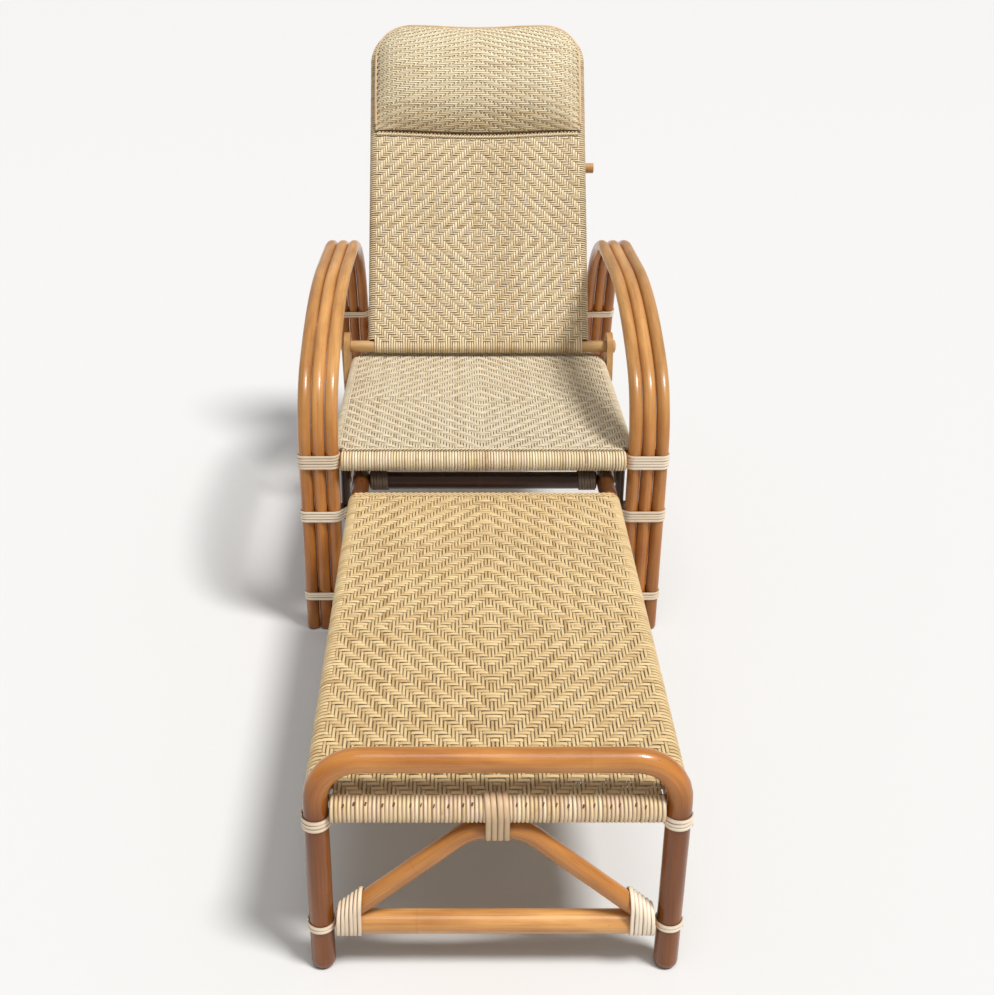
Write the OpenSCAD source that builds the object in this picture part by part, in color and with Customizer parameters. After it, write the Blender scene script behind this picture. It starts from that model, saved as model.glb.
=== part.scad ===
/* [Arms] */
// Diameter of each arm pole
arm_pole_d = 26; // [22:0.5:30]
// Gap between neighbouring arm poles
arm_pole_gap = 0.4; // [0.3:0.1:1]
// Distance between the inner faces of the two arms
arm_inner_w = 565.2; // [560:1:640]
// Straight stretch of the front leg over the lashings at the seat rail
arm_over_lashing = 0.9; // [0.5:0.1:20]
// Bend radius at the top of the front leg
arm_front_r = 170; // [150:5:230]
// How far the front bend turns, in degrees
arm_front_turn = 62; // [50:1:70]
// Radius of the long armrest curve
arm_rest_r = 794; // [600:10:1000]
// Length of the straight part of the armrest
arm_top_len = 187; // [120:1:240]
// Bend radius at the top of the rear leg
arm_rear_r = 300; // [250:5:320]
// Backward lean of the rear leg, in degrees
arm_rear_lean = 16.7; // [10:0.1:20]
// Rounding at the bottom of the front leg
arm_foot_round = 5; // [2:0.5:8]

/* [Seat] */
// Height of the front rail's centre
seat_rail_z = 376; // [360:1:400]
// Diameter of the bare front rail
seat_rail_d = 34; // [28:1:38]
// Place of the front rail's centre in front of the arms' legs
seat_rail_ahead = 4; // [0:0.5:8]
// Diameter of the bent seat frame
seat_frame_d = 28; // [24:1:32]
// How far the seat side rails' centres lie outside the inner faces of the arms
seat_frame_out = 2.9; // [0:0.1:5]
// Centre of the rear seat rail behind the front legs
seat_rear_y = 615; // [580:1:640]
// Bend radius of the rear corners of the seat frame
seat_corner_r = 30; // [20:1:45]
// Thickness of the woven panels
weave_t = 5; // [4:0.5:7]
// Thickness of the cane strands round a pole
wrap_t = 2.5; // [2:0.1:3]
// Thickness of the strands wound round a front rail
wind_t = 3; // [2:0.1:4]

/* [Seat carrier] */
// Diameter of the carriers and the runners
carrier_d = 20; // [18:0.5:21]
// Space between the carriers and the inner faces of the arms
carrier_clear = 0.6; // [0.4:0.1:3]
// Diameter of the front posts
post_d = 18; // [16:0.5:18]
// Lower end of the front posts above the floor
post_z = 240; // [200:5:242]
// Diameter of the two rear crossbars
rear_bar_d = 26; // [22:1:28]
// Diameter of the pegs that slide on the runners
slide_peg_d = 14.5; // [12:0.5:14.5]
// Place of the sliding pegs behind the footrest's rear crossbar
slide_peg_back = 60; // [55:1:62]

/* [Backrest] */
// Recline of the backrest from upright, in degrees
back_lean = 33; // [28:1:36]
// Place of the pivot behind the front legs
pivot_y = 590; // [585:1:595]
// Height of the pivot above the seat frame's centre
pivot_rise = 39; // [34:0.5:42]
// Diameter of the pivot bar
pivot_bar_d = 27; // [24:1:28]
// Diameter of the pivot bar's turned ends
pivot_pin_d = 18; // [14:1:20]
// Diameter of the bent backrest pole
back_pole_d = 26; // [22:1:28]
// Space between the backrest's wrapped sides and the inner faces of the arms
back_clear = 21.1; // [12:0.1:24]
// Height of the top rail's centre above the pivot, along the backrest
back_h = 786; // [760:2:820]
// Bend radius of the top corners
back_corner_r = 72; // [55:1:90]
// Thickness of each ear bracket
ear_t = 14; // [12:0.5:16]
// Radius of the ear bracket's round head
ear_r = 33; // [28:1:36]
// Lowest point of the ear bracket above the floor
ear_foot_z = 347; // [340:1:356]
// Width of the ear bracket's foot
ear_foot_w = 44; // [38:1:48]
// Diameter of the wooden pegs that hold each ear
ear_peg_d = 8; // [6:1:10]
// Diameter of the pivot bar's end caps
cap_d = 30; // [26:1:34]
// Thickness of the pivot bar's end caps
cap_t = 10; // [8:0.5:12]

/* [Head pillow] */
// Lower seam of the pillow above the pivot, along the backrest
pillow_z0 = 530; // [500:1:560]
// How far the pillow reaches past the centres of the backrest's side poles
pillow_over = 3; // [0:0.5:10]
// Thickness of the pillow at its crown
pillow_t = 66; // [40:1:80]
// How far the pillow's top edge dips at the middle
pillow_dip = 8; // [0:1:15]
// How far the pillow's lower seam sags at the middle
pillow_sag = 8; // [0:1:15]

/* [Prop] */
// Place of the prop's top dowel above the pivot, along the backrest
prop_reach = 459; // [440:1:480]
// Diameter of the prop's top dowel
dowel_d = 24; // [20:1:27]
// How far the dowel reaches past the backrest's right side pole
dowel_right = 37.5; // [30:0.5:42]
// How far the dowel reaches past the backrest's left side pole
dowel_left = 13; // [11:1:15]
// Place of each prop leg inward from the backrest's side pole
prop_in = 53; // [40:1:80]
// Diameter of a prop leg
prop_leg_d = 20; // [16:1:22]
// Width of the eye at each end of a prop leg
prop_eye_w = 24; // [18:1:30]
// Wall round the eye bores
prop_eye_wall = 7; // [5:0.5:9]
// Length of the notched rest strips behind the backrest
rack_len = 290; // [280:2:300]
// Thickness of the notched rest strips
rack_t = 8; // [6:0.5:10]
// Width of the notched rest strips
rack_w = 20; // [16:1:24]
// Depth of the shallow notches
notch_depth = 2; // [1:0.5:3]
// Distance from one notch to the next
notch_step = 107.5; // [95:0.5:115]

/* [Footrest] */
// Diameter of the footrest's poles
foot_pole_d = 34; // [32:0.5:34]
// Space between the footrest's side poles and the front posts
foot_clear = 7.1; // [7:0.1:15]
// Distance from the arms' front legs to the footrest's front legs
foot_y = 924.5; // [880:1:940]
// Height of the front rail's centre
foot_rail_z = 270; // [262:1:280]
// Diameter of the bare front rail
foot_rail_d = 33; // [30:1:34]
// Height of the rear crossbar's centre
foot_bar_z = 331; // [322:1:334]
// Place of the rear crossbar behind the arms' front legs
foot_bar_y = 5.5; // [0:0.5:6]
// How far the side poles reach past the rear crossbar
foot_tail = 76; // [74:1:80]
// Rear edge of the woven panel from the rear crossbar
foot_mat_gap = 89; // [60:1:110]
// Height of the bow's bar
bow_z = 347.7; // [340:1:360]
// Bend radius of the bow's corners
bow_r = 62; // [50:1:66]
// Height of the lower stretcher
stretcher_z = 75.6; // [60:1:90]
// Rounding at the bottom of the legs
foot_round = 9; // [4:1:12]
// Diameter of the bent brace
brace_d = 27; // [24:1:28]
// Slope of the brace's arms, in degrees
brace_slope = 40.7; // [38:0.1:42]
// Distance from the middle where the brace's arms would meet its top
brace_knee = 35; // [30:1:40]
// Bend radius of the brace
brace_bend_r = 60; // [45:1:70]

/* [Cane lashings] */
// Width of a lashing strand
strand_w = 5.2; // [4:0.1:5.3]
// Thickness of a lashing strand
strand_t = 2.6; // [2:0.1:3]
// Step from one turn to the next
strand_pitch = 5.8; // [5.8:0.1:7]
// Least space between a strand and the pole under it
strand_clear = 0.15; // [0.1:0.05:0.3]
// Turns at the seat rail
turns_seat = 5; // [3:1:6]
// Turns at the middle of the front legs
turns_mid = 4; // [3:1:6]
// Turns near the floor
turns_low = 3; // [2:1:5]
// Turns on the rear legs
turns_rear = 3; // [2:1:4]
// Turns round each footrest leg at the front rail
turns_corner = 3; // [2:1:4]
// Turns round each footrest leg at the stretcher
turns_leg = 2; // [2:1:4]
// Turns round the stretcher and the brace at each end
turns_tee = 6; // [3:1:6]
// Turns round the middle of the footrest's front rail
turns_middle = 5; // [3:1:6]
// Height of the middle lashing on the front legs
lash_mid_z = 259.5; // [250:0.5:262]
// Height of the low lashing on the front legs
lash_low_z = 79.5; // [60:0.5:100]
// Height of the lashing on the rear legs
lash_rear_z = 400; // [395:1:420]

/* [Hidden] */
$fn = 48;

// Small space between parts that rest on each other
seat_gap = 0.3;
// Space between a pole and the weave wound tightly round it
snug = 0.15;
// Radial running clearance in a pivot bore
run_fit = 0.05;
// Sides of a swept pole
pole_sides = 16;

arm_r = arm_pole_d / 2;
arm_step = arm_pole_d + arm_pole_gap;
arm_inner_x = arm_inner_w / 2 + arm_r;
frame_r = seat_frame_d / 2;
rail_r = seat_rail_d / 2;
carrier_r = carrier_d / 2;
foot_r = foot_pole_d / 2;
back_r = back_pole_d / 2;
pivot_r = pivot_bar_d / 2;

// Arm outline: the ends of its straight and curved stretches, as [y, z]
arm_front_h = seat_rail_z + turns_seat * strand_pitch / 2 + strand_w / 2 + arm_over_lashing;
rest_turn = 90 - arm_front_turn;
rear_turn = 90 - arm_rear_lean;
bend1 = [arm_front_r * (1 - cos(arm_front_turn)), arm_front_h + arm_front_r * sin(arm_front_turn)];
bend2 = bend1 + arm_rest_r * [sin(rest_turn), 1 - cos(rest_turn)];
bend3 = bend2 + [arm_top_len, 0];
bend4 = bend3 + arm_rear_r * [sin(rear_turn), cos(rear_turn) - 1];
arm_rear_foot_y = bend4[0] + bend4[1] * tan(arm_rear_lean);

// Place of the rear leg's centre at a height
function rear_leg_y(z) = bend4[0] + (bend4[1] - z) * tan(arm_rear_lean);

// Radius of a strand's path round a pole, wide enough for straight steps between its points
function path_r(pole_r, half_step = 18) = (pole_r + strand_clear) / cos(half_step) + strand_t / 2;
// Height of a lashing over the pole under it
function lash_out(pole_r) = path_r(pole_r) + strand_t / 2 - pole_r;

// Seat: the front rail is held between the lashed legs, the frame starts behind them
rail_y = -seat_rail_ahead;
rail_wound_r = rail_r + wind_t;
seat_top = seat_rail_z + rail_wound_r;
frame_z = seat_top - frame_r - wrap_t;
frame_x = arm_inner_w / 2 + seat_frame_out;
// The seat frame starts behind the lashings and the wound rail, on a whole tenth of a millimetre
frame_y0 = ceil((max(arm_r + lash_out(arm_r), rail_y + rail_wound_r) + seat_gap) * 10) / 10;
seat_side_x = frame_x + frame_r + wrap_t;

// Carriers run under the wrapped seat frame and bear its rear rail
carrier_x = arm_inner_w / 2 - carrier_clear - carrier_r;
carrier_z = frame_z - frame_r - wrap_t - carrier_r - seat_gap;
rear_bar_r = rear_bar_d / 2;
rear_bar_y = rear_leg_y(carrier_z);
rear_bar_half = arm_inner_w / 2 - seat_gap;
post_r = post_d / 2;
post_x = arm_inner_w / 2 - post_r;
post_y = frame_y0 + post_r;

// Footrest panel: its slope runs from the front rail to the rear crossbar
foot_x = post_x - post_r - foot_clear - foot_r;
foot_front = -foot_y;
panel_run = foot_bar_y - foot_front;
panel_slope = atan((foot_bar_z - foot_rail_z) / panel_run);
side_len = panel_run / cos(panel_slope);
foot_rail_r = foot_rail_d / 2;
foot_wound_r = foot_rail_r + wind_t;
foot_tan = tan(panel_slope);
slide_peg_z = foot_bar_z + slide_peg_back * foot_tan;
runner_z = slide_peg_z - slide_peg_d / 2 - seat_gap - carrier_r;

// Pivot and backrest
pivot_z = frame_z + pivot_rise;
ear_x = seat_side_x + seat_gap;
back_x = arm_inner_w / 2 - back_clear - wrap_t - back_r;
pillow_top = back_h + back_r + wrap_t;

// Prop: its dowel lies behind the rest strips
dowel_r = dowel_d / 2;
rack_face = back_r + wrap_t + rack_t;
dowel_off = rack_face + seat_gap + dowel_r;
dowel_y = pivot_y + prop_reach * sin(back_lean) + dowel_off * cos(back_lean);
dowel_z = pivot_z + prop_reach * cos(back_lean) - dowel_off * sin(back_lean);
prop_len = norm([dowel_y - rear_bar_y, dowel_z - carrier_z]);
prop_tilt = atan2(rear_bar_y - dowel_y, dowel_z - carrier_z);

// Brace: its top passes under the wound front rail
brace_r = brace_d / 2;
brace_z = foot_rail_z - foot_wound_r - seat_gap - brace_r;

// The part is centred front to back on its own length
y_min = foot_front - foot_wound_r - lash_out(foot_wound_r);
y_max = arm_rear_foot_y + arm_r / cos(arm_rear_lean);
y_shift = -(y_min + y_max) / 2;

wood = [0.78, 0.52, 0.26];
pale_wood = [0.85, 0.68, 0.42];
straw = [0.84, 0.74, 0.54];
cream = [0.89, 0.81, 0.70];

module place() translate([0, y_shift, 0]) children();

// Position and facing of a backrest part, drawn upright with its front towards -Y
module back_place() place() translate([0, pivot_y, pivot_z]) rotate([-back_lean, 0, 0]) children();

// Position of a footrest panel part, drawn level with its front end at the origin
module panel_place() place() translate([0, foot_front, foot_rail_z]) rotate([panel_slope, 0, 0]) children();

// Surface of a tube from its rings of points, all with the same number of sides
module tube_from(rings) {
  n = len(rings[0]);
  m = len(rings);
  points = [for (ring = rings) for (p = ring) p];
  sides = [for (i = [0 : m - 2]) for (j = [0 : n - 1])
    let (a = i * n + j, b = i * n + (j + 1) % n, c = a + n, d = b + n) each [[a, c, b], [b, c, d]]];
  first = [for (j = [1 : n - 2]) [0, j, j + 1]];
  last_start = (m - 1) * n;
  last = [for (j = [1 : n - 2]) [last_start, last_start + j + 1, last_start + j]];
  polyhedron(points = points, faces = concat(sides, first, last), convexity = 6);
}

// Points of an arc in the [y, z] plane as [centre line point, angle of its direction]
function arc_steps(start, heading, radius, turn, steps) =
  [for (i = [1 : steps]) let (h = heading - turn * i / steps,
    p = start + radius * [sin(heading) - sin(h), cos(h) - cos(heading)])
    [p, h, 1]];

// Centre line of an arm pole: [point, heading above level, share of the radius]
arm_path = concat(
  [[[0, 0], 90, 1 - arm_foot_round / arm_r],
   [[0, arm_foot_round * 0.3], 90, 1 - 0.3 * arm_foot_round / arm_r],
   [[0, arm_foot_round], 90, 1],
   [[0, arm_front_h], 90, 1]],
  arc_steps([0, arm_front_h], 90, arm_front_r, arm_front_turn, 8),
  arc_steps(bend1, rest_turn, arm_rest_r, rest_turn, 6),
  [[bend3, 0, 1]],
  arc_steps(bend3, 0, arm_rear_r, rear_turn, 9)
);

// Ring of a pole whose centre line lies in the plane of Y and Z
function yz_ring(p, heading, r) = [for (j = [0 : pole_sides - 1]) let (a = 360 * j / pole_sides)
  [r * sin(a), p[0] - r * cos(a) * sin(heading), p[1] + r * cos(a) * cos(heading)]];

// Level ring where the leaning rear leg meets the floor
function floor_ring(y, r, lean) = [for (j = [0 : pole_sides - 1]) let (a = 360 * j / pole_sides)
  [r * sin(a), y + r * cos(a) / cos(lean), 0]];

module arm_pole(x) color(wood) place() translate([x, 0, 0]) tube_from(concat(
  [for (s = arm_path) yz_ring(s[0], s[1], arm_r * s[2])],
  [floor_ring(arm_rear_foot_y, arm_r, arm_rear_lean)]
));

// Straight pole along X, Y or Z
module pole_x(r, x0, x1) translate([x0, 0, 0]) rotate([0, 90, 0]) cylinder(r = r, h = x1 - x0);
module pole_y(r, y0, y1) translate([0, y0, 0]) rotate([-90, 0, 0]) cylinder(r = r, h = y1 - y0);

// Quarter bend of a pole in the plane of X and Y, from the X axis to the Y axis
module bend(r, bend_r) rotate_extrude(angle = 90) translate([bend_r, 0]) circle(r = r);

// U-shaped pole in the plane of X and Y: open towards -Y, its sides ending at y = from
module u_pole(r, half_w, from, to, bend_r, ahead = 0) {
  for (s = [-1, 1]) {
    translate([s * half_w, 0, 0]) pole_y(r, from - ahead, to - bend_r);
    translate([s * (half_w - bend_r), to - bend_r, 0]) rotate([0, 0, s > 0 ? 0 : 90]) bend(r, bend_r);
  }
  translate([0, to, 0]) pole_x(r, bend_r - half_w, half_w - bend_r);
}

// Woven panel stretched over a U-shaped pole, its face towards +Z
module u_mat(pole_r, half_w, from, to, bend_r) {
  outer = pole_r + wrap_t;
  // The panel's face lies a little under the highest line of the wrapped poles
  top = outer - 0.5;
  difference() {
    union() {
      u_pole(outer, half_w, from, to, bend_r);
      translate([-half_w, from, top - weave_t]) cube([2 * half_w, to - bend_r - from, weave_t]);
      translate([bend_r - half_w, to - bend_r - 1, top - weave_t])
        cube([2 * (half_w - bend_r), bend_r + 1, weave_t]);
    }
    u_pole(pole_r + snug, half_w, from, to, bend_r, 1);
  }
}

// Belt: the closed loop drawn tightly round a ring of circles [x, y, radius], turning from
// X to Y. Each circle gets its own number of points; each point also has its outward normal.
function tangent(a, b) = let (d = [b[0] - a[0], b[1] - a[1]])
  atan2(d[1], d[0]) - 90 + asin((a[2] - b[2]) / norm(d));
function on_circle(c, a) = [[c[0] + c[2] * cos(a), c[1] + c[2] * sin(a)], [cos(a), sin(a)]];
function belt(circles, counts) = let (n = len(circles))
  n == 1 ? [for (k = [0 : counts[0] - 1]) on_circle(circles[0], 360 * k / counts[0])] :
  [for (i = [0 : n - 1])
    let (c = circles[i], a0 = tangent(circles[(i + n - 1) % n], c),
      turn = tangent(c, circles[(i + 1) % n]) - a0, span = turn - 360 * floor(turn / 360))
    for (k = [0 : counts[i] - 1]) on_circle(c, a0 + span * k / (counts[i] - 1))];

// Winding: turns of the belt, rising along Z, whose circles may change evenly on the way
function total(v, i = 0) = i < len(v) ? v[i] + total(v, i + 1) : 0;
function winding_path(turns, circles, counts, last) = let (n = total(counts))
  [for (k = [0 : turns * n - 1])
    let (t = k / (turns * n - 1), b = belt(circles + t * (last - circles), counts)[k % n])
    [[b[0][0], b[0][1], strand_pitch * (k / n - turns / 2)], b[1]]];

// Six-sided flat section of the strand at a path point
function strand_ring(s) = [for (c = [[1, 0], [0.5, 1], [-0.5, 1], [-1, 0], [-0.5, -1], [0.5, -1]])
  [s[0][0] + s[1][0] * c[1] * strand_t / 2, s[0][1] + s[1][1] * c[1] * strand_t / 2,
   s[0][2] + c[0] * strand_w / 2]];

// Straight end stretch, one strand width long, square to the strand's section
function end_step(s, sign, rise) = [s[0] + sign * [-s[1][1] * strand_w, s[1][0] * strand_w, rise], s[1]];

// Least space between neighbouring turns, measured on the path's points
function least_gap(path, n) = min([for (k = [0 : len(path) - n]) for (m = [k + n - 1 : min(k + n + 2, len(path) - 1)])
  norm(path[m][0] - path[k][0])]) - strand_w;

module winding(name, turns, circles, counts, last = []) {
  n = total(counts);
  path = winding_path(turns, circles, counts, len(last) > 0 ? last : circles);
  whole = concat([end_step(path[0], -1, strand_pitch / n)], path,
    [end_step(path[len(path) - 1], 1, strand_pitch / n)]);
  echo(str(name, ": least gap between turns ", least_gap(whole, n)));
  rings = [for (s = whole) strand_ring(s)];
  tube_from([for (i = [len(rings) - 1 : -1 : 0]) rings[i]]);
}

// Points round a single pole, and round each of two poles
ring_steps = [12];
pair_steps = [6, 6];

module left_arm_outer_pole() arm_pole(-arm_inner_x - 2 * arm_step);
module left_arm_middle_pole() arm_pole(-arm_inner_x - arm_step);
module left_arm_inner_pole() arm_pole(-arm_inner_x);
module right_arm_outer_pole() arm_pole(arm_inner_x + 2 * arm_step);
module right_arm_middle_pole() arm_pole(arm_inner_x + arm_step);
module right_arm_inner_pole() arm_pole(arm_inner_x);

// Lashings round the three poles of one arm. The middle one also holds the front post.
arm_outer_x = arm_inner_x + 2 * arm_step;
arm_pair = [[arm_outer_x, 0, path_r(arm_r)], [arm_inner_x, 0, path_r(arm_r)]];
post_ring = [arm_pair[0], [post_x, post_y, path_r(post_r)], arm_pair[1]];
module arm_lashings(side, name) color(cream) place() scale([side, 1, 1]) {
  translate([0, 0, seat_rail_z]) winding(str(name, " seat"), turns_seat, arm_pair, pair_steps);
  translate([0, 0, lash_mid_z]) winding(str(name, " middle"), turns_mid, post_ring, [6, 5, 4]);
  translate([0, 0, lash_low_z]) winding(str(name, " low"), turns_low, arm_pair, pair_steps);
  translate([0, rear_leg_y(lash_rear_z), lash_rear_z]) rotate([arm_rear_lean, 0, 0])
    winding(str(name, " rear"), turns_rear, arm_pair, pair_steps);
}
module left_arm_lashings() arm_lashings(-1, "left arm");
module right_arm_lashings() arm_lashings(1, "right arm");

rail_half = arm_inner_w / 2 - lash_out(arm_r) - seat_gap;
module seat_front_rail() color(wood) place() translate([0, rail_y, seat_rail_z])
  pole_x(rail_r, -rail_half, rail_half);

// The winding stops short of the rail's ends
wind_half = rail_half - 1;
module seat_rail_winding() color(straw) place() translate([0, rail_y, seat_rail_z]) difference() {
  pole_x(rail_wound_r, -wind_half, wind_half);
  pole_x(rail_r + snug, -wind_half - 1, wind_half + 1);
}

// Holes for the ear pegs, through the seat frame's outer side
peg_depth = ear_t + seat_gap + wrap_t + frame_r;
ear_peg_y = [pivot_y - 31, pivot_y - 15];
module peg_holes(extra) for (s = [-1, 1]) for (y = ear_peg_y)
  translate([s * (ear_x + ear_t), y, frame_z]) rotate([0, -s * 90, 0])
    translate([0, 0, -0.01 * extra]) cylinder(d = ear_peg_d + 2 * run_fit * extra, h = peg_depth + extra);

module seat_frame() color(wood) place() difference() {
  translate([0, 0, frame_z]) u_pole(frame_r, frame_x, frame_y0, seat_rear_y, seat_corner_r);
  peg_holes(1);
}
module seat_mat() color(straw) place() difference() {
  translate([0, 0, frame_z]) u_mat(frame_r, frame_x, frame_y0, seat_rear_y, seat_corner_r);
  peg_holes(1);
}

module front_posts() color(pale_wood) place() for (s = [-1, 1])
  translate([s * post_x, post_y, post_z])
    cylinder(r = post_r, h = carrier_z + carrier_r - post_z);

carrier_y0 = post_y + post_r + seat_gap;
carrier_y1 = rear_bar_y - rear_bar_r - seat_gap;
module carrier(side) color(wood) place() translate([side * carrier_x, 0, carrier_z])
  pole_y(carrier_r, carrier_y0, carrier_y1);
module left_carrier() carrier(-1);
module right_carrier() carrier(1);

module rear_crossbar() color(wood) place() translate([0, rear_bar_y, carrier_z])
  pole_x(rear_bar_r, -rear_bar_half, rear_bar_half);

// Runners: they reach from the front posts to the lower rear crossbar
rear_low_y = rear_leg_y(runner_z);
module rear_lower_bar() color(wood) place() translate([0, rear_low_y, runner_z])
  pole_x(rear_bar_r, -rear_bar_half, rear_bar_half);
module runner(side) color(wood) place() translate([side * carrier_x, 0, runner_z])
  pole_y(carrier_r, post_y + post_r + seat_gap, rear_low_y - rear_bar_r - seat_gap);
module left_runner() runner(-1);
module right_runner() runner(1);

// Ear: a round head on a foot that is pegged to the seat frame's side
module ear_plate() {
  cylinder(r = ear_r, h = ear_t);
  linear_extrude(ear_t) polygon([
    [-ear_r, 0], [-ear_foot_w, ear_foot_z - pivot_z], [0, ear_foot_z - pivot_z], [ear_r * cos(20), -ear_r * sin(20)]
  ]);
}
module ear(side) color(pale_wood) place() difference() {
  translate([side > 0 ? ear_x : -ear_x - ear_t, pivot_y, pivot_z]) rotate([90, 0, 90]) ear_plate();
  translate([0, pivot_y, pivot_z]) pole_x(pivot_pin_d / 2 + run_fit, -ear_x - ear_t - 1, ear_x + ear_t + 1);
  peg_holes(1);
}
module left_ear() ear(-1);
module right_ear() ear(1);
module ear_pegs() color(pale_wood) place() peg_holes(0);

// Pivot bar: its turned-down ends run in the ears
bar_half = ear_x - seat_gap;
module pivot_bar() color(pale_wood) back_place() {
  pole_x(pivot_r, -bar_half, bar_half);
  for (s = [-1, 1]) scale([s, 1, 1]) pole_x(pivot_pin_d / 2, bar_half, ear_x + ear_t + seat_gap);
}
module pivot_caps() color(pale_wood) back_place() for (s = [-1, 1]) scale([s, 1, 1])
  translate([ear_x + ear_t + seat_gap, 0, 0]) rotate([90, 0, 90]) intersection() {
    cylinder(d = cap_d, h = cap_t);
    translate([0, 0, cap_t - cap_d]) sphere(r = cap_d);
  }
wrap_half = back_x - back_r - wrap_t - seat_gap;
module pivot_bar_winding() color(straw) back_place() difference() {
  pole_x(pivot_r + wrap_t, -wrap_half, wrap_half);
  pole_x(pivot_r + snug, -wrap_half - 1, wrap_half + 1);
}

// Backrest parts are drawn lying on their backs, then stood up
module stand_up() rotate([90, 0, 0]) children();
back_from = pivot_r + seat_gap;
module back_frame() color(wood) back_place() stand_up() u_pole(back_r, back_x, back_from, back_h, back_corner_r);
module back_mat() color(straw) back_place() stand_up() u_mat(back_r, back_x, back_from, back_h, back_corner_r);

// Pillow: a crowned cushion in front of the weave, drawn in at its sides and seam
pillow_cols = 22;
pillow_rows = 16;
pillow_half = back_x + pillow_over;
pillow_back = back_r + wrap_t + seat_gap;
// Corner rounding of the pillow's outline, seen from the front
pillow_corner = back_corner_r + back_r + wrap_t;
function pillow_side(z) = let (over = z - (pillow_top - pillow_corner))
  pillow_half - (over <= 0 ? 0 : pillow_corner - sqrt(max(0, pow(pillow_corner, 2) - over * over)));
function pillow_crown(u, v) = pow(max(0, sin(180 * v)), 0.62) * pow(max(0, 1 - pow(abs(u), 7)), 0.6);
function pillow_point(i, j, front) = let (
    u = 2 * i / pillow_cols - 1,
    v = j / pillow_rows,
    us = sign(u) * pow(abs(u), 0.8),
    dip = pillow_dip * pow(cos(90 * us), 2) * pow(v, 6),
    sag = pillow_sag * pow(cos(90 * us), 2) * pow(1 - v, 6),
    z = pillow_z0 - sag + (pillow_top - dip + sag - pillow_z0) * v,
    x = us * pillow_side(z))
  [x, -pillow_back - (front ? 2 + (pillow_t - 2) * pillow_crown(us, v) : 0), z];
module head_pillow() color(straw) back_place() {
  row = pillow_cols + 1;
  sheet = row * (pillow_rows + 1);
  points = concat(
    [for (j = [0 : pillow_rows]) for (i = [0 : pillow_cols]) pillow_point(i, j, true)],
    [for (j = [0 : pillow_rows]) for (i = [0 : pillow_cols]) pillow_point(i, j, false)]);
  front = [for (j = [0 : pillow_rows - 1]) for (i = [0 : pillow_cols - 1])
    let (a = j * row + i) each [[a, a + row, a + 1], [a + 1, a + row, a + row + 1]]];
  rear = [for (f = front) [f[0] + sheet, f[2] + sheet, f[1] + sheet]];
  rim = concat(
    [for (i = [0 : pillow_cols - 1]) [i, i + 1]],
    [for (j = [0 : pillow_rows - 1]) [j * row + pillow_cols, (j + 1) * row + pillow_cols]],
    [for (i = [pillow_cols : -1 : 1]) [pillow_rows * row + i, pillow_rows * row + i - 1]],
    [for (j = [pillow_rows : -1 : 1]) [j * row, (j - 1) * row]]);
  edge = [for (e = rim) each [[e[0], e[1], e[0] + sheet], [e[1], e[1] + sheet, e[0] + sheet]]];
  polyhedron(points = points, faces = concat(front, rear, edge), convexity = 4);
}

// Rest strip behind a side pole, with shallow notches for the dowel
rack_z0 = prop_reach - 25;
notch_r = dowel_r + seat_gap;
module prop_rack(side) color(wood) back_place() difference() {
  translate([side * back_x - rack_w / 2, back_r + wrap_t + seat_gap, rack_z0])
    cube([rack_w, rack_t - seat_gap, rack_len]);
  for (z = [prop_reach, prop_reach + notch_step, prop_reach + 2 * notch_step])
    translate([side * back_x, dowel_off - notch_depth + seat_gap, z]) pole_x(notch_r, -rack_w, rack_w);
}
module left_prop_rack() prop_rack(-1);
module right_prop_rack() prop_rack(1);

// Position of a prop part, drawn upright over the rear crossbar's axis
module prop_place() place() translate([0, rear_bar_y, carrier_z]) rotate([prop_tilt, 0, 0]) children();
module prop_leg(side) color(wood) prop_place() translate([side * (back_x - prop_in), 0, 0]) difference() {
  union() {
    pole_x(rear_bar_r + prop_eye_wall, -prop_eye_w / 2, prop_eye_w / 2);
    cylinder(d = prop_leg_d, h = prop_len);
    translate([0, 0, prop_len]) pole_x(dowel_r + prop_eye_wall, -prop_eye_w / 2, prop_eye_w / 2);
  }
  pole_x(rear_bar_r + run_fit, -prop_eye_w, prop_eye_w);
  translate([0, 0, prop_len]) pole_x(dowel_r + run_fit, -prop_eye_w, prop_eye_w);
}
module left_prop_leg() prop_leg(-1);
module right_prop_leg() prop_leg(1);
module prop_dowel() color(pale_wood) prop_place() translate([0, 0, prop_len])
  pole_x(dowel_r, -back_x - dowel_left, back_x + dowel_right);

// Footrest bow: two legs and a bar bent from one pole, with rounded feet
module foot_end() rotate_extrude() {
  translate([0, 0]) square([foot_r - foot_round, foot_round]);
  intersection() {
    translate([foot_r - foot_round, foot_round]) circle(r = foot_round);
    square([foot_r, foot_round]);
  }
}
module foot_bow() color(wood) place() translate([0, foot_front, 0]) {
  translate([0, 0, bow_z]) rotate([90, 0, 0]) u_pole(foot_r, foot_x, foot_round - bow_z, 0, bow_r);
  for (s = [-1, 1]) translate([s * foot_x, 0, 0]) foot_end();
}

// Sliding pegs: one through the tail of each side pole, reaching over the runner
slide_peg_out = carrier_x + 7;
slide_peg_in = foot_x - foot_r - 6;
module slide_peg(side, extra) place() translate([0, foot_bar_y + slide_peg_back, slide_peg_z]) scale([side, 1, 1])
  pole_x(slide_peg_d / 2 + run_fit * extra, slide_peg_in - 20 * extra, slide_peg_out + 20 * extra);
module foot_slide_pegs() color(pale_wood) for (s = [-1, 1]) slide_peg(s, 0);

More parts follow.
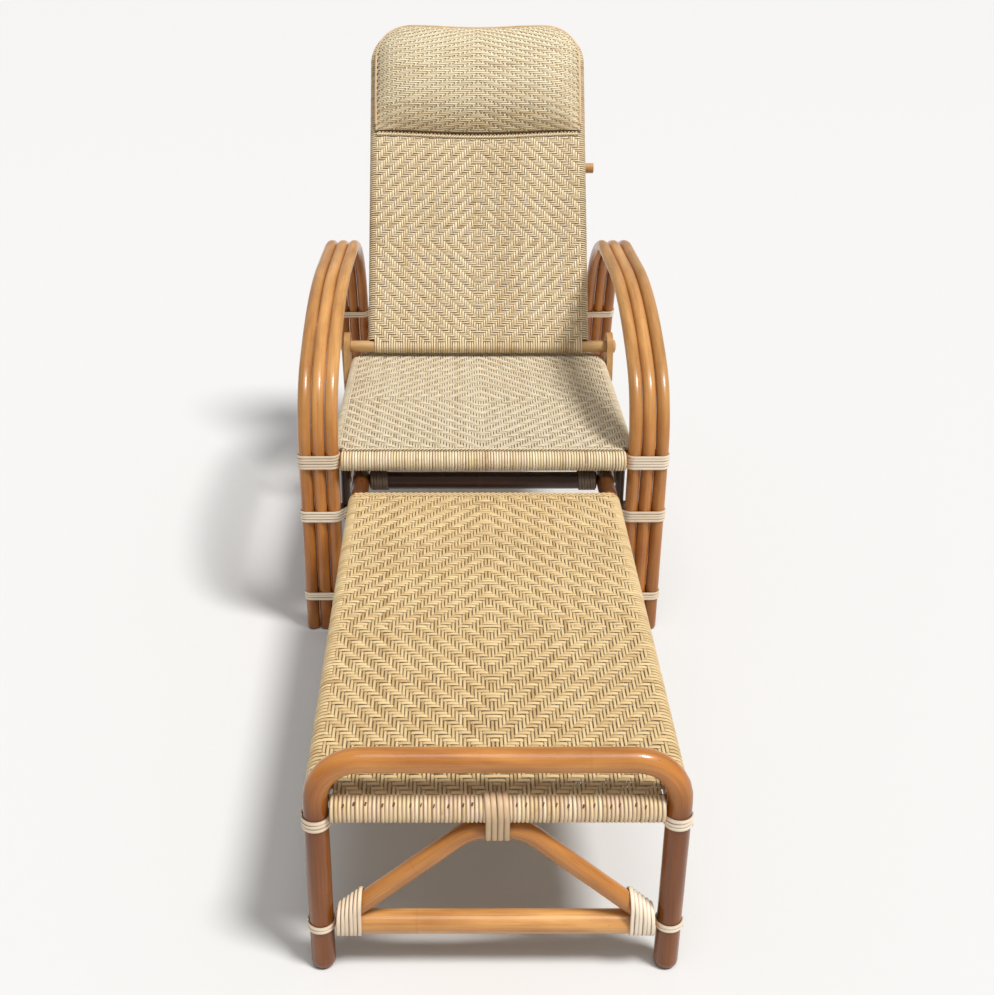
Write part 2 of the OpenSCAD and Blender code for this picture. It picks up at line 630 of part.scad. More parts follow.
// The poles that meet a leg stop at the strands round it
side_y0 = foot_r + lash_out(foot_r) + seat_gap;
module foot_side_pole(side) color(wood) difference() {
  panel_place() translate([side * foot_x, 0, 0]) pole_y(foot_r, side_y0, side_len + foot_tail);
  slide_peg(side, 1);
}
module left_foot_side_pole() foot_side_pole(-1);
module right_foot_side_pole() foot_side_pole(1);

foot_span = foot_x - foot_r - seat_gap;
lashed_span = foot_span - lash_out(foot_r);
module foot_front_rail() color(wood) place() translate([0, foot_front, foot_rail_z])
  pole_x(foot_rail_r, -lashed_span, lashed_span);
foot_wind_half = lashed_span - 3;
module foot_rail_winding() color(straw) place() translate([0, foot_front, foot_rail_z]) difference() {
  pole_x(foot_wound_r, -foot_wind_half, foot_wind_half);
  pole_x(foot_rail_r + snug, -foot_wind_half - 1, foot_wind_half + 1);
}
module foot_crossbar() color(wood) place() translate([0, foot_bar_y, foot_bar_z])
  pole_x(foot_r, -foot_span, foot_span);
module foot_stretcher() color(wood) place() translate([0, foot_front, stretcher_z])
  pole_x(foot_r, -lashed_span, lashed_span);

// Lashing sleeves at the ends of the rear crossbar
sleeve_w = 33;
module foot_crossbar_sleeves() color(cream) place() for (s = [-1, 1])
  translate([s * (foot_span - wrap_t - seat_gap - sleeve_w / 2), foot_bar_y, foot_bar_z]) difference() {
    pole_x(foot_r + strand_t, -sleeve_w / 2, sleeve_w / 2);
    pole_x(foot_r + snug, -sleeve_w, sleeve_w);
  }

// Woven footrest panel: wraps both side poles and meets the wound front rail
mat_y0 = foot_wound_r + seat_gap + 1;
mat_y1 = side_len - foot_mat_gap;
module foot_mat() color(straw) panel_place() difference() {
  union() {
    for (s = [-1, 1]) translate([s * foot_x, 0, 0]) pole_y(foot_r + wrap_t, mat_y0, mat_y1);
    translate([-foot_x, mat_y0, foot_r + wrap_t - 0.5 - weave_t])
      cube([2 * foot_x, mat_y1 - mat_y0, weave_t]);
  }
  for (s = [-1, 1]) translate([s * foot_x, 0, 0]) pole_y(foot_r + snug, mat_y0 - 1, mat_y1 + 1);
}

// Brace: one bent pole, a short level top and two sloping arms that stand on the stretcher
brace_cut_z = stretcher_z + foot_r + seat_gap;
brace_tangent = brace_bend_r * tan(brace_slope / 2);
brace_low = brace_knee + (brace_z - brace_cut_z + brace_d) / tan(brace_slope);
function brace_half() = concat(
  [[[brace_low, brace_z - (brace_low - brace_knee) * tan(brace_slope)], 180 - brace_slope]],
  [for (i = [6 : -1 : 0]) let (h = brace_slope * i / 6)
    [[brace_knee - brace_tangent + brace_bend_r * sin(h), brace_z - brace_bend_r * (1 - cos(h))], 180 - h]]);
brace_path = let (half = brace_half()) concat(half,
  [for (i = [len(half) - 1 : -1 : 0]) [[-half[i][0][0], half[i][0][1]], 360 - half[i][1]]]);
function xz_ring(p, heading, r) = [for (j = [0 : pole_sides - 1]) let (a = 360 * j / pole_sides)
  [p[0] - r * cos(a) * sin(heading), r * sin(a), p[1] + r * cos(a) * cos(heading)]];
module foot_brace() color(wood) place() translate([0, foot_front, 0]) difference() {
  tube_from([for (s = brace_path) xz_ring(s[0], s[1], brace_r)]);
  translate([-2 * foot_x, -2 * foot_x, -2 * foot_x]) cube([4 * foot_x, 4 * foot_x, 2 * foot_x + brace_cut_z]);
  for (s = [-1, 1]) translate([s * (foot_span + foot_x), 0, 0]) cube(2 * foot_x, center = true);
}

// Lashings where the legs meet the front rail and the stretcher
leg_ring = [[0, 0, path_r(foot_r)]];
module foot_corner_lashings() color(cream) place() for (s = [-1, 1])
  translate([s * foot_x, foot_front, foot_rail_z - foot_rail_r / 2])
    winding("corner", turns_corner, leg_ring, ring_steps);

// The windings in the plane of X and Z run along X, with their second axis up
module along_x() rotate([90, 0, 90]) children();

// The stretcher's lashing also holds the brace, so its turns shrink along the brace's slope
tee_len = strand_pitch * turns_tee;
tee_x0 = foot_x - foot_r - lash_out(foot_r) - seat_gap - tee_len - strand_w / 2;
tee_rise = brace_z - (tee_x0 - strand_w / 2 - brace_knee) * tan(brace_slope) + brace_r / cos(brace_slope)
  - stretcher_z - foot_r;
function tee_ring(rise) = [[0, max(1, rise), path_r(foot_r)], [0, 0, path_r(foot_r)]];
module foot_tee_lashings() color(cream) place() for (s = [-1, 1]) {
  translate([s * foot_x, foot_front, stretcher_z]) winding("leg", turns_leg, leg_ring, ring_steps);
  scale([s, 1, 1]) translate([tee_x0 + tee_len / 2, foot_front, stretcher_z]) along_x()
    winding("tee", turns_tee, tee_ring(tee_rise), pair_steps, tee_ring(tee_rise - tee_len * tan(brace_slope)));
}

// The middle lashing holds the wound rail and the brace together
module foot_middle_lashing() color(cream) place() translate([0, foot_front, brace_z]) along_x()
  winding("middle", turns_middle,
    [[0, foot_rail_z - brace_z, path_r(foot_wound_r, 21)], [0, 0, path_r(brace_r)]], pair_steps);

left_arm_outer_pole();
left_arm_middle_pole();
left_arm_inner_pole();
right_arm_outer_pole();
right_arm_middle_pole();
right_arm_inner_pole();
seat_front_rail();
seat_rail_winding();
seat_frame();
seat_mat();
front_posts();
left_carrier();
right_carrier();
rear_crossbar();
rear_lower_bar();
left_runner();
right_runner();
left_ear();
right_ear();
ear_pegs();
left_arm_lashings();
right_arm_lashings();
pivot_bar();
pivot_bar_winding();
pivot_caps();
back_frame();
back_mat();
head_pillow();
left_prop_rack();
right_prop_rack();
prop_dowel();
left_prop_leg();
right_prop_leg();
foot_bow();
left_foot_side_pole();
right_foot_side_pole();
foot_front_rail();
foot_rail_winding();
foot_crossbar();
foot_stretcher();
foot_slide_pegs();
foot_brace();
foot_mat();
foot_corner_lashings();
foot_tee_lashings();
foot_middle_lashing();
foot_crossbar_sleeves();
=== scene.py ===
"""Looks of the rattan chaise longue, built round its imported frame. Lengths are in millimetres,
in the chair's own frame (y = 0 at the arms' front legs), and turned into metres at the end."""
import math

import bpy
import numpy as np
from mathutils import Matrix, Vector


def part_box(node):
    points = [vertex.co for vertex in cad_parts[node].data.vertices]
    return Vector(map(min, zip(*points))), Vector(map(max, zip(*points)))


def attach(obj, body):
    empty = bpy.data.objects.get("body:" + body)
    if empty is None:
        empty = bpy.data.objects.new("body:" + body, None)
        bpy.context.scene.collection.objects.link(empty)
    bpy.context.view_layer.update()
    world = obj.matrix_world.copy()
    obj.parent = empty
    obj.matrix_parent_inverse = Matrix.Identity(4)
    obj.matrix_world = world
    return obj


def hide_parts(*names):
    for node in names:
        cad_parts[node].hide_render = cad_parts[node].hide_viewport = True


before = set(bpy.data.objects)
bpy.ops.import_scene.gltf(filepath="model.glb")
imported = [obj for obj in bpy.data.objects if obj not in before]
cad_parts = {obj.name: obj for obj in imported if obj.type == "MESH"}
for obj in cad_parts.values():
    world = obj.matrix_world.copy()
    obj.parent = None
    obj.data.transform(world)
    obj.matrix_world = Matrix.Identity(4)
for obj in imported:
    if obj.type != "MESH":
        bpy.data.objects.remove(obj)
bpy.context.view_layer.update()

rng = np.random.default_rng(41)
SIDES = ((-1, "left"), (1, "right"))
POLE_SIDES = 28

# Sizes from the CAD source
FOOT_Y = -924.5
FOOT_RAIL_Z = 270.0
SHIFT = 500 * (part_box("foot_front_rail")[0].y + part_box("foot_front_rail")[1].y) - FOOT_Y


def box_mm(node):
    """Centre and half size of a CAD node, in the chair's frame."""
    low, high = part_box(node)
    low, high = np.array(low) * 1000, np.array(high) * 1000
    centre = (low + high) / 2
    centre[1] -= SHIFT
    return centre, (high - low) / 2


def sind(a):
    return math.sin(math.radians(a))


def cosd(a):
    return math.cos(math.radians(a))


def new_object(name, data):
    """An object in the scene that shows this mesh, light or camera."""
    made = bpy.data.objects.new(name, data)
    bpy.context.scene.collection.objects.link(made)
    return made


# Swept strands and poles
class Strands:
    """Collects swept solids and turns them into one mesh with its own surface coordinates."""

    def __init__(self):
        self.points, self.faces, self.grain, self.tone, self.edge, self.knot_and_dive_shade = [], [], [], [], [], []
        self.count = 0

    def add(self, points, grain, tone, edge, knot_and_dive_shade):
        first = self.count
        self.points.append(points)
        self.grain.append(grain)
        self.tone.append(np.clip(np.broadcast_to(tone, len(points)), 0, 1))
        self.edge.append(edge)
        self.knot_and_dive_shade.append(knot_and_dive_shade)
        self.count += len(points)
        return first

    def sweep(self, path, side, section, tone=0.5, swell=None, knots_and_dive_shade=None, trim=None, shade=None):
        """Sweeps a closed section, [across, up], along a path. side is the across direction."""
        path = np.asarray(path, float)
        n, m = len(path), len(section)
        section = np.asarray(section, float)
        tangent = np.gradient(path, axis=0)
        tangent /= np.linalg.norm(tangent, axis=1)[:, None]
        side = np.broadcast_to(np.asarray(side, float), path.shape)
        across = side - (side * tangent).sum(1)[:, None] * tangent
        across /= np.linalg.norm(across, axis=1)[:, None]
        up = np.cross(across, tangent)
        swell = np.ones(n) if swell is None else np.asarray(swell)
        # Marks along the path: rings at a pole's nodes, and painted shade where a strand dives under others
        knots_and_dive_shade = np.zeros(n) if knots_and_dive_shade is None else np.asarray(knots_and_dive_shade)
        along = np.concatenate([[0], np.cumsum(np.linalg.norm(np.diff(path, axis=0), axis=1))])
        along = along + rng.uniform(0, 4000)
        rings = (path[:, None] + swell[:, None, None] * (section[None, :, :1] * across[:, None]
                 + section[None, :, 1:] * up[:, None]))
        if trim is not None:
            rings = trim(rings, tangent)
        offset = rng.uniform(-300, 300, 2)
        grain = np.concatenate([np.broadcast_to(section + offset, (n, m, 2)),
                                np.broadcast_to(along[:, None, None], (n, m, 1))], axis=2)
        # How near each point lies to a strand's edge, for painted shade there; a pole's painted shade takes
        # its place
        edge = np.abs(section[:, 0]) / np.abs(section[:, 0]).max()
        edges = np.tile(edge, (n, 1)) if shade is None else np.repeat(shade[:, None], m, axis=1)
        tone = np.broadcast_to(np.asarray(tone, float), n)
        first = self.add(rings.reshape(-1, 3), grain.reshape(-1, 3), np.repeat(tone, m), edges.ravel(),
                         np.repeat(knots_and_dive_shade, m))
        i = np.arange(n - 1)[:, None] * m
        j = np.arange(m)[None, :]
        k = (j + 1) % m
        self.faces.append(np.stack([i + j, i + m + j, i + m + k, i + k], axis=2).reshape(-1, 4) + first)
        # Each end gets a cap of its own, so that it stays crisp
        for end, flip in ((0, False), (-1, True)):
            start = self.add(rings[end], grain[end], tone[end], edges[end], np.zeros(m))
            cap = np.arange(m) + start
            self.faces.append(cap[::-1][None] if flip else cap[None])

    def make(self, name, material, body, slot, *nodes):
        """The piece that rides on a body and stands for these CAD nodes, if any."""
        points = np.concatenate(self.points)
        points[:, 1] += SHIFT
        points /= 1000
        mesh = bpy.data.meshes.new(name)
        corners = np.concatenate([f.ravel() for f in self.faces])
        sizes = np.concatenate([np.full(len(f), f.shape[1]) for f in self.faces])
        mesh.vertices.add(len(points))
        mesh.vertices.foreach_set("co", points.ravel())
        mesh.loops.add(len(corners))
        mesh.loops.foreach_set("vertex_index", corners.astype(np.int32))
        mesh.polygons.add(len(sizes))
        starts = np.concatenate([[0], np.cumsum(sizes)[:-1]])
        mesh.polygons.foreach_set("loop_start", starts.astype(np.int32))
        mesh.update(calc_edges=True)
        mesh.shade_smooth()
        for key, kind, values in (("grain", "FLOAT_VECTOR", self.grain), ("tone", "FLOAT", self.tone),
                                  ("edge", "FLOAT", self.edge), ("knot_and_dive_shade", "FLOAT", self.knot_and_dive_shade)):
            store = mesh.attributes.new(key, kind, "POINT")
            store.data.foreach_set("vector" if kind == "FLOAT_VECTOR" else "value",
                                   np.concatenate(values).ravel().astype(np.float32))
        mesh.materials.append(material)
        piece = new_object(name, mesh)
        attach(piece, body)
        if nodes:
            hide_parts(*nodes)


def cane_section(width, thick):
    """Split cane: a low crown on top and a flatter back."""
    low = thick * 0.45
    return np.array([[-width / 2, 0], [0, -thick / 2], [width / 2, 0], [width / 4, low], [-width / 4, low]])


def round_cane(width, thick, sides):
    a = np.arange(sides) * 2 * np.pi / sides
    return np.stack([width / 2 * np.cos(a), thick / 2 * np.sin(a)], axis=1)


def flat_cane(width, thick):
    """A flat strand with rounded edges."""
    a = np.radians(np.arange(0, 360, 36) + 18)
    return np.stack([half * np.sign(t) * np.abs(t) ** 0.6
                     for half, t in ((width / 2, np.cos(a)), (thick / 2, np.sin(a)))], axis=1)


def along_path(path, step, extra=()):
    """A path sampled again at even steps, with extra places, and each place's distance."""
    path = np.asarray(path, float)
    far = np.concatenate([[0], np.cumsum(np.linalg.norm(np.diff(path, axis=0), axis=1))])
    places = np.linspace(0, far[-1], max(2, int(round(far[-1] / step)) + 1))
    places = np.unique(np.concatenate([places, [e for e in extra if 0 < e < far[-1]]]))
    return np.stack([np.interp(places, far, path[:, k]) for k in range(3)], axis=1), places


def pole(name, body, node, path, radius, side, rounded=(0, 0), step=14, trim=None, dark=None):
    """A rattan pole along a path, with a few faint rings where its joints were, as one piece.
    rounded gives the radii of its ends' edges, and dark its painted shade from 0 to 1 along the path."""
    path = np.asarray(path, float)
    length = np.linalg.norm(np.diff(path, axis=0), axis=1).sum()
    knots_and_dive_shade, place = [], rng.uniform(60, 260)
    while place < length - 30:
        knots_and_dive_shade.append(place)
        place += rng.uniform(300, 560)
    extra = [k + d for k in knots_and_dive_shade for d in (-9, -5, -2.5, 0, 2.5, 5, 9)]
    for r, sign, base in ((rounded[0], 1, 0), (rounded[1], -1, length)):
        if r:
            extra += [base + sign * r * t for t in (0.0, 0.08, 0.3, 0.6, 1.0)]
    path, places = along_path(path, step, extra)
    swell = np.ones(len(places))
    mark = np.zeros(len(places))
    for k in knots_and_dive_shade:
        swell += 0.008 * np.exp(-(((places - k) / 3.2) ** 2))
        mark += np.exp(-(((places - k) / 1.8) ** 2))
    swell += (0.004 * np.sin(places / 37 + rng.uniform(0, 6))
              + 0.003 * np.sin(places / 13 + rng.uniform(0, 6)))
    for r, far in ((rounded[0], places), (rounded[1], length - places)):
        if r:
            t = np.clip(far / r, 0, 1)
            swell *= 1 - (r / radius) * (1 - np.sqrt(np.clip(1 - (1 - t) ** 2, 0, 1)))
    shade = np.zeros(len(path)) if dark is None else np.clip(dark(path), 0, 1)
    s = Strands()
    s.sweep(path, side, round_cane(2 * radius, 2 * radius, POLE_SIDES), rng.uniform(0, 1),
            swell, mark, trim, shade)
    s.make(name, m_pole, body, "rattan_pole", node)


def evenly_dark(shade):
    return lambda path: np.full(len(path), shade)


def arc(start, heading, radius, turn, step=2.5):
    """[y, z] points of an arc that starts in a heading above level and turns downwards."""
    count = max(2, int(round(abs(turn) / step)))
    out = []
    for i in range(1, count + 1):
        h = heading - turn * i / count
        out.append((start[0] + radius * (sind(heading) - sind(h)),
                    start[1] + radius * (cosd(h) - cosd(heading))))
    return out


# Materials
def grey(value):
    return (value, value, value)


def times(colour, by):
    return tuple(by * c for c in colour)


def tinted(stops, tint):
    """Colour stops times a tint, kept below full white."""
    return [(place, tuple(min(0.97, a * b) for a, b in zip(colour, tint))) for place, colour in stops]


class Surface:
    """A procedural material while its nodes are put together. Without an axis it reads the
    attributes of swept strands, and with one it suits a CAD node that lies along that axis."""

    def __init__(self, name, axis=None):
        self.material = bpy.data.materials.new(name)
        self.material.use_nodes = True
        self.axis = axis
        self.nodes, self.links = self.material.node_tree.nodes, self.material.node_tree.links
        self.nodes.clear()
        out = self.nodes.new("ShaderNodeOutputMaterial")
        self.shader = self.nodes.new("ShaderNodeBsdfPrincipled")
        self.links.new(self.shader.outputs[0], out.inputs[0])

    def set(self, values):
        for name, value in values.items():
            self.shader.inputs[name].default_value = value

    def attribute(self, name, output="Fac"):
        node = self.nodes.new("ShaderNodeAttribute")
        node.attribute_name = name
        return node.outputs[output]

    def noise(self, scale, detail, rough):
        """Noise over surface coordinates in millimetres; the third of scale is along the strand."""
        mapping = self.nodes.new("ShaderNodeMapping")
        if self.axis is None:
            self.links.new(self.attribute("grain", "Vector"), mapping.inputs["Vector"])
            mapping.inputs["Scale"].default_value = scale
        else:
            source = self.nodes.new("ShaderNodeTexCoord")
            self.links.new(source.outputs["Object"], mapping.inputs["Vector"])
            turned = [scale[0] * 1000] * 3
            turned[self.axis] = scale[2] * 1000
            mapping.inputs["Scale"].default_value = turned
        texture = self.nodes.new("ShaderNodeTexNoise")
        for key, value in (("Scale", 1.0), ("Detail", detail), ("Roughness", rough)):
            texture.inputs[key].default_value = value
        self.links.new(mapping.outputs["Vector"], texture.inputs["Vector"])
        return texture.outputs["Fac"]

    def ramp(self, factor, stops):
        node = self.nodes.new("ShaderNodeValToRGB")
        elements = node.color_ramp.elements
        while len(elements) < len(stops):
            elements.new(0.5)
        for element, (place, colour) in zip(elements, stops):
            element.position = place
            element.color = (*colour, 1)
        self.links.new(factor, node.inputs["Fac"])
        return node.outputs["Color"]

    def mix(self, factor, a, b, kind="MIX"):
        """Two colours mixed by a factor; each may be a socket or a value."""
        node = self.nodes.new("ShaderNodeMix")
        node.data_type = "RGBA"
        node.blend_type = kind
        for socket, value in ((node.inputs[0], factor), (node.inputs[6], a), (node.inputs[7], b)):
            if hasattr(value, "links"):
                self.links.new(value, socket)
            elif isinstance(value, tuple):
                socket.default_value = (*value, 1)
            else:
                socket.default_value = value
        return node.outputs[2]

    def multiply(self, tint, factor, stops):
        """A colour times a ramp of a factor."""
        return self.mix(1.0, tint, self.ramp(factor, stops), "MULTIPLY")

    def finish(self, tint, streak, gloss, dull, height, strength):
        """The colour, and a roughness and a relief that follow the streaks; height is in metres."""
        self.links.new(tint, self.shader.inputs["Base Color"])
        rough = self.ramp(streak, [(0.2, grey(gloss + dull)), (0.8, grey(gloss))])
        self.links.new(rough, self.shader.inputs["Roughness"])
        node = self.nodes.new("ShaderNodeBump")
        node.inputs["Strength"].default_value = strength
        node.inputs["Distance"].default_value = height
        self.links.new(streak, node.inputs["Height"])
        self.links.new(node.outputs["Normal"], self.shader.inputs["Normal"])
        return self.material


# Painted shade: what a pole's colour is multiplied by, from its painted shade 0 to 1
SHADED = [(0, (1.0, 1.0, 1.0)), (0.5, (0.87, 0.64, 0.38)), (0.8, (0.36, 0.21, 0.085)),
          (1, (0.06, 0.035, 0.022))]


def pole_material(name, pale, deep, axis=None, gloss=0.26, coat=0.45):
    """Varnished rattan or wood: streaks along the pole, slow blotches and small dark flecks."""
    look = Surface(name, axis)
    streak = look.noise((0.45, 0.45, 0.006), 5, 0.6)
    blotch = look.noise((0.035, 0.035, 0.007), 3, 0.55)
    fleck = look.noise((0.5, 0.5, 0.16), 2, 0.5)
    middle = tuple(0.5 * (a + b) for a, b in zip(pale, deep))
    tint = look.ramp(blotch, [(0.25, deep), (0.5, middle), (0.72, pale)])
    tint = look.multiply(tint, streak, [(0.25, grey(0.74)), (0.5, grey(1.0)), (0.8, grey(1.12))])
    spots = look.ramp(fleck, [(0.70, grey(0)), (0.80, grey(0.75))])
    tint = look.mix(spots, tint, times(deep, 0.28))
    if axis is None:
        tint = look.multiply(tint, look.attribute("tone"), [(0, grey(0.86)), (1, grey(1.1))])
        # Painted shade, kept in the edge attribute
        tint = look.multiply(tint, look.attribute("edge"), SHADED)
        rings = look.ramp(look.attribute("knot_and_dive_shade"), [(0.1, grey(0)), (0.9, grey(0.12))])
        tint = look.mix(rings, tint, times(deep, 0.45))
    look.set({"Coat Weight": coat, "Coat Roughness": 0.13, "Specular IOR Level": 0.3})
    return look.finish(tint, streak, gloss, 0.14, 0.0004, 0.35)


def cane_material(name, stops, stain, gloss=0.42, edge_painted_shade=0.45, axis=None):
    """Split cane strands: each has its own tone, streaks along it and stains, and painted shade at its
    edges.
    """
    look = Surface(name, axis)
    streak = look.noise((1.3, 1.3, 0.02), 4, 0.6)
    patch = look.noise((0.02, 0.02, 0.03), 3, 0.6)
    tint = look.ramp(look.attribute("tone") if axis is None else patch, stops)
    tint = look.multiply(tint, streak, [(0.25, grey(0.8)), (0.5, grey(1.0)), (0.8, grey(1.1))])
    tint = look.mix(look.ramp(patch, [(0.52, grey(0)), (0.85, grey(0.4))]), tint, stain)
    if axis is None:
        # Painted shade along the strands' edges and where they dive under others
        tint = look.multiply(tint, look.attribute("edge"), [(0.5, grey(1.0)), (1.0, grey(edge_painted_shade))])
        tint = look.multiply(tint, look.attribute("knot_and_dive_shade"), [(0.15, grey(1.0)), (1.0, (0.70, 0.64, 0.56))])
    look.set({"Specular IOR Level": 0.45})
    return look.finish(tint, streak, gloss, 0.16, 0.0003, 0.4)


HONEY = (0.70, 0.365, 0.122)
BROWN = (0.40, 0.17, 0.045)
STRAW = [(0.0, (0.70, 0.62, 0.52)), (0.5, (0.95, 0.94, 0.92)), (1.0, (1.06, 1.09, 1.13))]
WOUND = [(0.0, (0.54, 0.36, 0.20)), (0.2, (0.74, 0.58, 0.31)), (0.4, (0.78, 0.60, 0.42)),
         (0.6, (0.82, 0.68, 0.38)), (0.8, (0.84, 0.67, 0.49)), (1.0, (0.90, 0.79, 0.55))]
CREAM = [(0.0, (0.71, 0.54, 0.37)), (0.5, (0.86, 0.70, 0.52)), (1.0, (0.94, 0.82, 0.65))]

m_pole = pole_material("rattan_pole", HONEY, BROWN)
m_peeled = {axis: pole_material(f"peeled_wood_{'xyz'[axis]}", (0.66, 0.43, 0.20), (0.46, 0.26, 0.10), axis,
                                gloss=0.36, coat=0.3) for axis in (0, 2)}
m_weave = {}
# Each panel: tint, stain, and for its across and lengthwise strands a tint and the painted shade at their
# edges
for panel_name, tint, dark, across_tint, across_edge_shade, along_tint, along_edge_shade in (
        ("footrest", (0.73, 0.537, 0.279), (0.48, 0.33, 0.16), 1.01, 0.84, 0.95, 0.50),
        ("seat", (0.722, 0.616, 0.438), (0.54, 0.42, 0.27), 1.01, 0.78, 0.96, 0.42),
        ("back", (0.82, 0.66, 0.42), (0.52, 0.38, 0.21), 0.92, 0.40, 1.06, 0.52)):
    m_weave[panel_name] = tuple(
        cane_material(f"{panel_name}_cane_{way}", tinted(STRAW, times(tint, by)), dark, edge_painted_shade=edge)
        for way, by, edge in (("across", across_tint, across_edge_shade), ("lengthwise", along_tint, along_edge_shade)))
m_pillow = cane_material("pillow_cane", tinted(STRAW, (0.93, 0.79, 0.54)), (0.60, 0.46, 0.28),
                         edge_painted_shade=0.3)
m_wound = cane_material("wound_cane", WOUND, (0.52, 0.36, 0.20), gloss=0.36, edge_painted_shade=0.64)
m_wound_foot = cane_material("footrest_wound_cane", tinted(WOUND, (0.93, 0.87, 0.86)), (0.48, 0.32, 0.18),
                             gloss=0.36, edge_painted_shade=0.72)
m_bind = cane_material("binding_cane", CREAM, (0.66, 0.50, 0.36), gloss=0.4, edge_painted_shade=0.6)
m_bind_mid = cane_material("middle_binding_cane", tinted(CREAM, (0.70, 0.58, 0.45)), (0.45, 0.30, 0.18),
                           edge_painted_shade=0.6)
m_bind_dark = cane_material("shaded_binding_cane", tinted(CREAM, (0.14, 0.11, 0.09)), (0.10, 0.07, 0.05),
                            edge_painted_shade=0.6)
# The front posts are painted near black: painted shade under the seat
m_post = pole_material("painted_shade_wood_z", (0.10, 0.055, 0.03), (0.05, 0.03, 0.02), 2, gloss=0.4, coat=0.2)
m_dowel = pole_material("dowel_wood_x", (0.62, 0.34, 0.13), (0.42, 0.21, 0.07), 0, gloss=0.32, coat=0.4)
m_ear = pole_material("ear_wood_z", (0.60, 0.34, 0.13), (0.42, 0.21, 0.07), 2, gloss=0.32, coat=0.4)
m_piping = cane_material("piping_cane", tinted(STRAW, (0.90, 0.64, 0.38)), (0.6, 0.4, 0.22), edge_painted_shade=0.7)
# Near black: a dark lacing with painted shade in the seam, and painted shade in the rail's gaps
m_seam = cane_material("dark_lacing_and_gap_shade", [(0.0, (0.07, 0.035, 0.015)), (1.0, (0.16, 0.085, 0.04))],
                       (0.06, 0.03, 0.015), gloss=0.6)
m_core = cane_material("pillow_inner_shade", [(0.3, (0.16, 0.10, 0.05)), (0.7, (0.24, 0.16, 0.08))],
                       (0.12, 0.08, 0.04), gloss=0.7, axis=0)

# Arm poles
ARM_R = 13.0
ARM_X = (295.6, 322.0, 348.4)
FRONT_H, FRONT_R, FRONT_TURN = 394.0, 170.0, 62.0
REST_R, TOP_LEN = 794.0, 187.0
REAR_R, REAR_LEAN = 300.0, 16.7
arm_yz = [(0.0, 0.0), (0.0, FRONT_H)]
arm_yz += arc(arm_yz[-1], 90, FRONT_R, FRONT_TURN)
arm_yz += arc(arm_yz[-1], 90 - FRONT_TURN, REST_R, 90 - FRONT_TURN, 1.5)
arm_yz.append((arm_yz[-1][0] + TOP_LEN, arm_yz[-1][1]))
arm_yz += arc(arm_yz[-1], 0, REAR_R, 90 - REAR_LEAN)
rear_bend = arm_yz[-1]
arm_yz.append((rear_bend[0] + rear_bend[1] * sind(REAR_LEAN) / cosd(REAR_LEAN), 0.0))


def rear_leg_y(z):
    return rear_bend[0] + (rear_bend[1] - z) * sind(REAR_LEAN) / cosd(REAR_LEAN)


def cut_at_floor(rings, tangent):
    """The last ring is drawn along the pole to the floor."""
    lift = rings[-1][:, 2] / tangent[-1][2]
    rings[-1] = rings[-1] - lift[:, None] * tangent[-1]
    return rings


def arm_painted_shade(path):
    """Painted shade: the arms are darker brown low on their legs and towards the rear."""
    low = np.interp(path[:, 2], (80, 220, 400, 500), (0.6, 0.5, 0.36, 0.0))
    return np.maximum(low, np.interp(path[:, 1], (640, 840), (0.0, 0.55)))


def bow_painted_shade(path):
    """Painted shade: the bow's legs are darker brown than its bar, which is a little darker too."""
    return np.interp(path[:, 2], (262, 325, 348), (0.8, 0.5, 0.33))


def side_painted_shade(path):
    """Painted shade: the side poles are dark behind the woven panel, under the seat."""
    end = MAT_END * cosd(SLOPE) + FOOT_Y
    return np.interp(path[:, 1], (end - 4, end + 8), (0.0, 0.93))


for side, word in SIDES:
    for x, place in zip(ARM_X, ("inner", "middle", "outer")):
        pole(f"{word}_arm_{place}", "chair_frame", f"{word}_arm_{place}_pole",
             [(side * x, y, z) for y, z in arm_yz], ARM_R, (1, 0, 0),
             rounded=(5, 0), trim=cut_at_floor, dark=arm_painted_shade)


# Straight poles, from their CAD boxes
def straight(body, node, axis, dark=None):
    """A straight pole that fills a CAD node's box along an axis."""
    centre, half = box_mm(node)
    ends = np.array([centre, centre])
    ends[0, axis] -= half[axis]
    ends[1, axis] += half[axis]
    pole(node + "_pole", body, node, ends, min(half), (0, 0, 1), rounded=(2, 2), dark=dark)


for node, axis in (("seat_front_rail", 0), ("rear_crossbar", 0), ("rear_lower_bar", 0), ("left_carrier", 1),
                   ("right_carrier", 1), ("left_runner", 1), ("right_runner", 1)):
    straight("chair_frame", node, axis)
# The footrest's crossbar, under the seat, gets full painted shade
for node, shade in (("foot_front_rail", 0.0), ("foot_crossbar", 1.0), ("foot_stretcher", 0.0)):
    straight("footrest", node, 0, evenly_dark(shade))

# Woven panels
WEAVE_T = 1.5
WEAVE_RISE = 0.8
LIFT = 1.1
WRAP_GAP = 0.3


class Place:
    """A panel's own axes: x across, y along, z out of its face."""

    def __init__(self, origin, tilt):
        self.origin = np.array(origin, float)
        self.axes = np.array([(1, 0, 0), (0, cosd(tilt), sind(tilt)), (0, -sind(tilt), cosd(tilt))])

    def __call__(self, points):
        return self.origin + np.asarray(points, float) @ self.axes

    def turn(self, vectors):
        return np.asarray(vectors, float) @ self.axes


def spans(over):
    """Runs of equal state: [first, last, state]."""
    out, start = [], 0
    for i in range(1, len(over) + 1):
        if i == len(over) or over[i] != over[start]:
            out.append((start, i - 1, over[start]))
            start = i
    return out


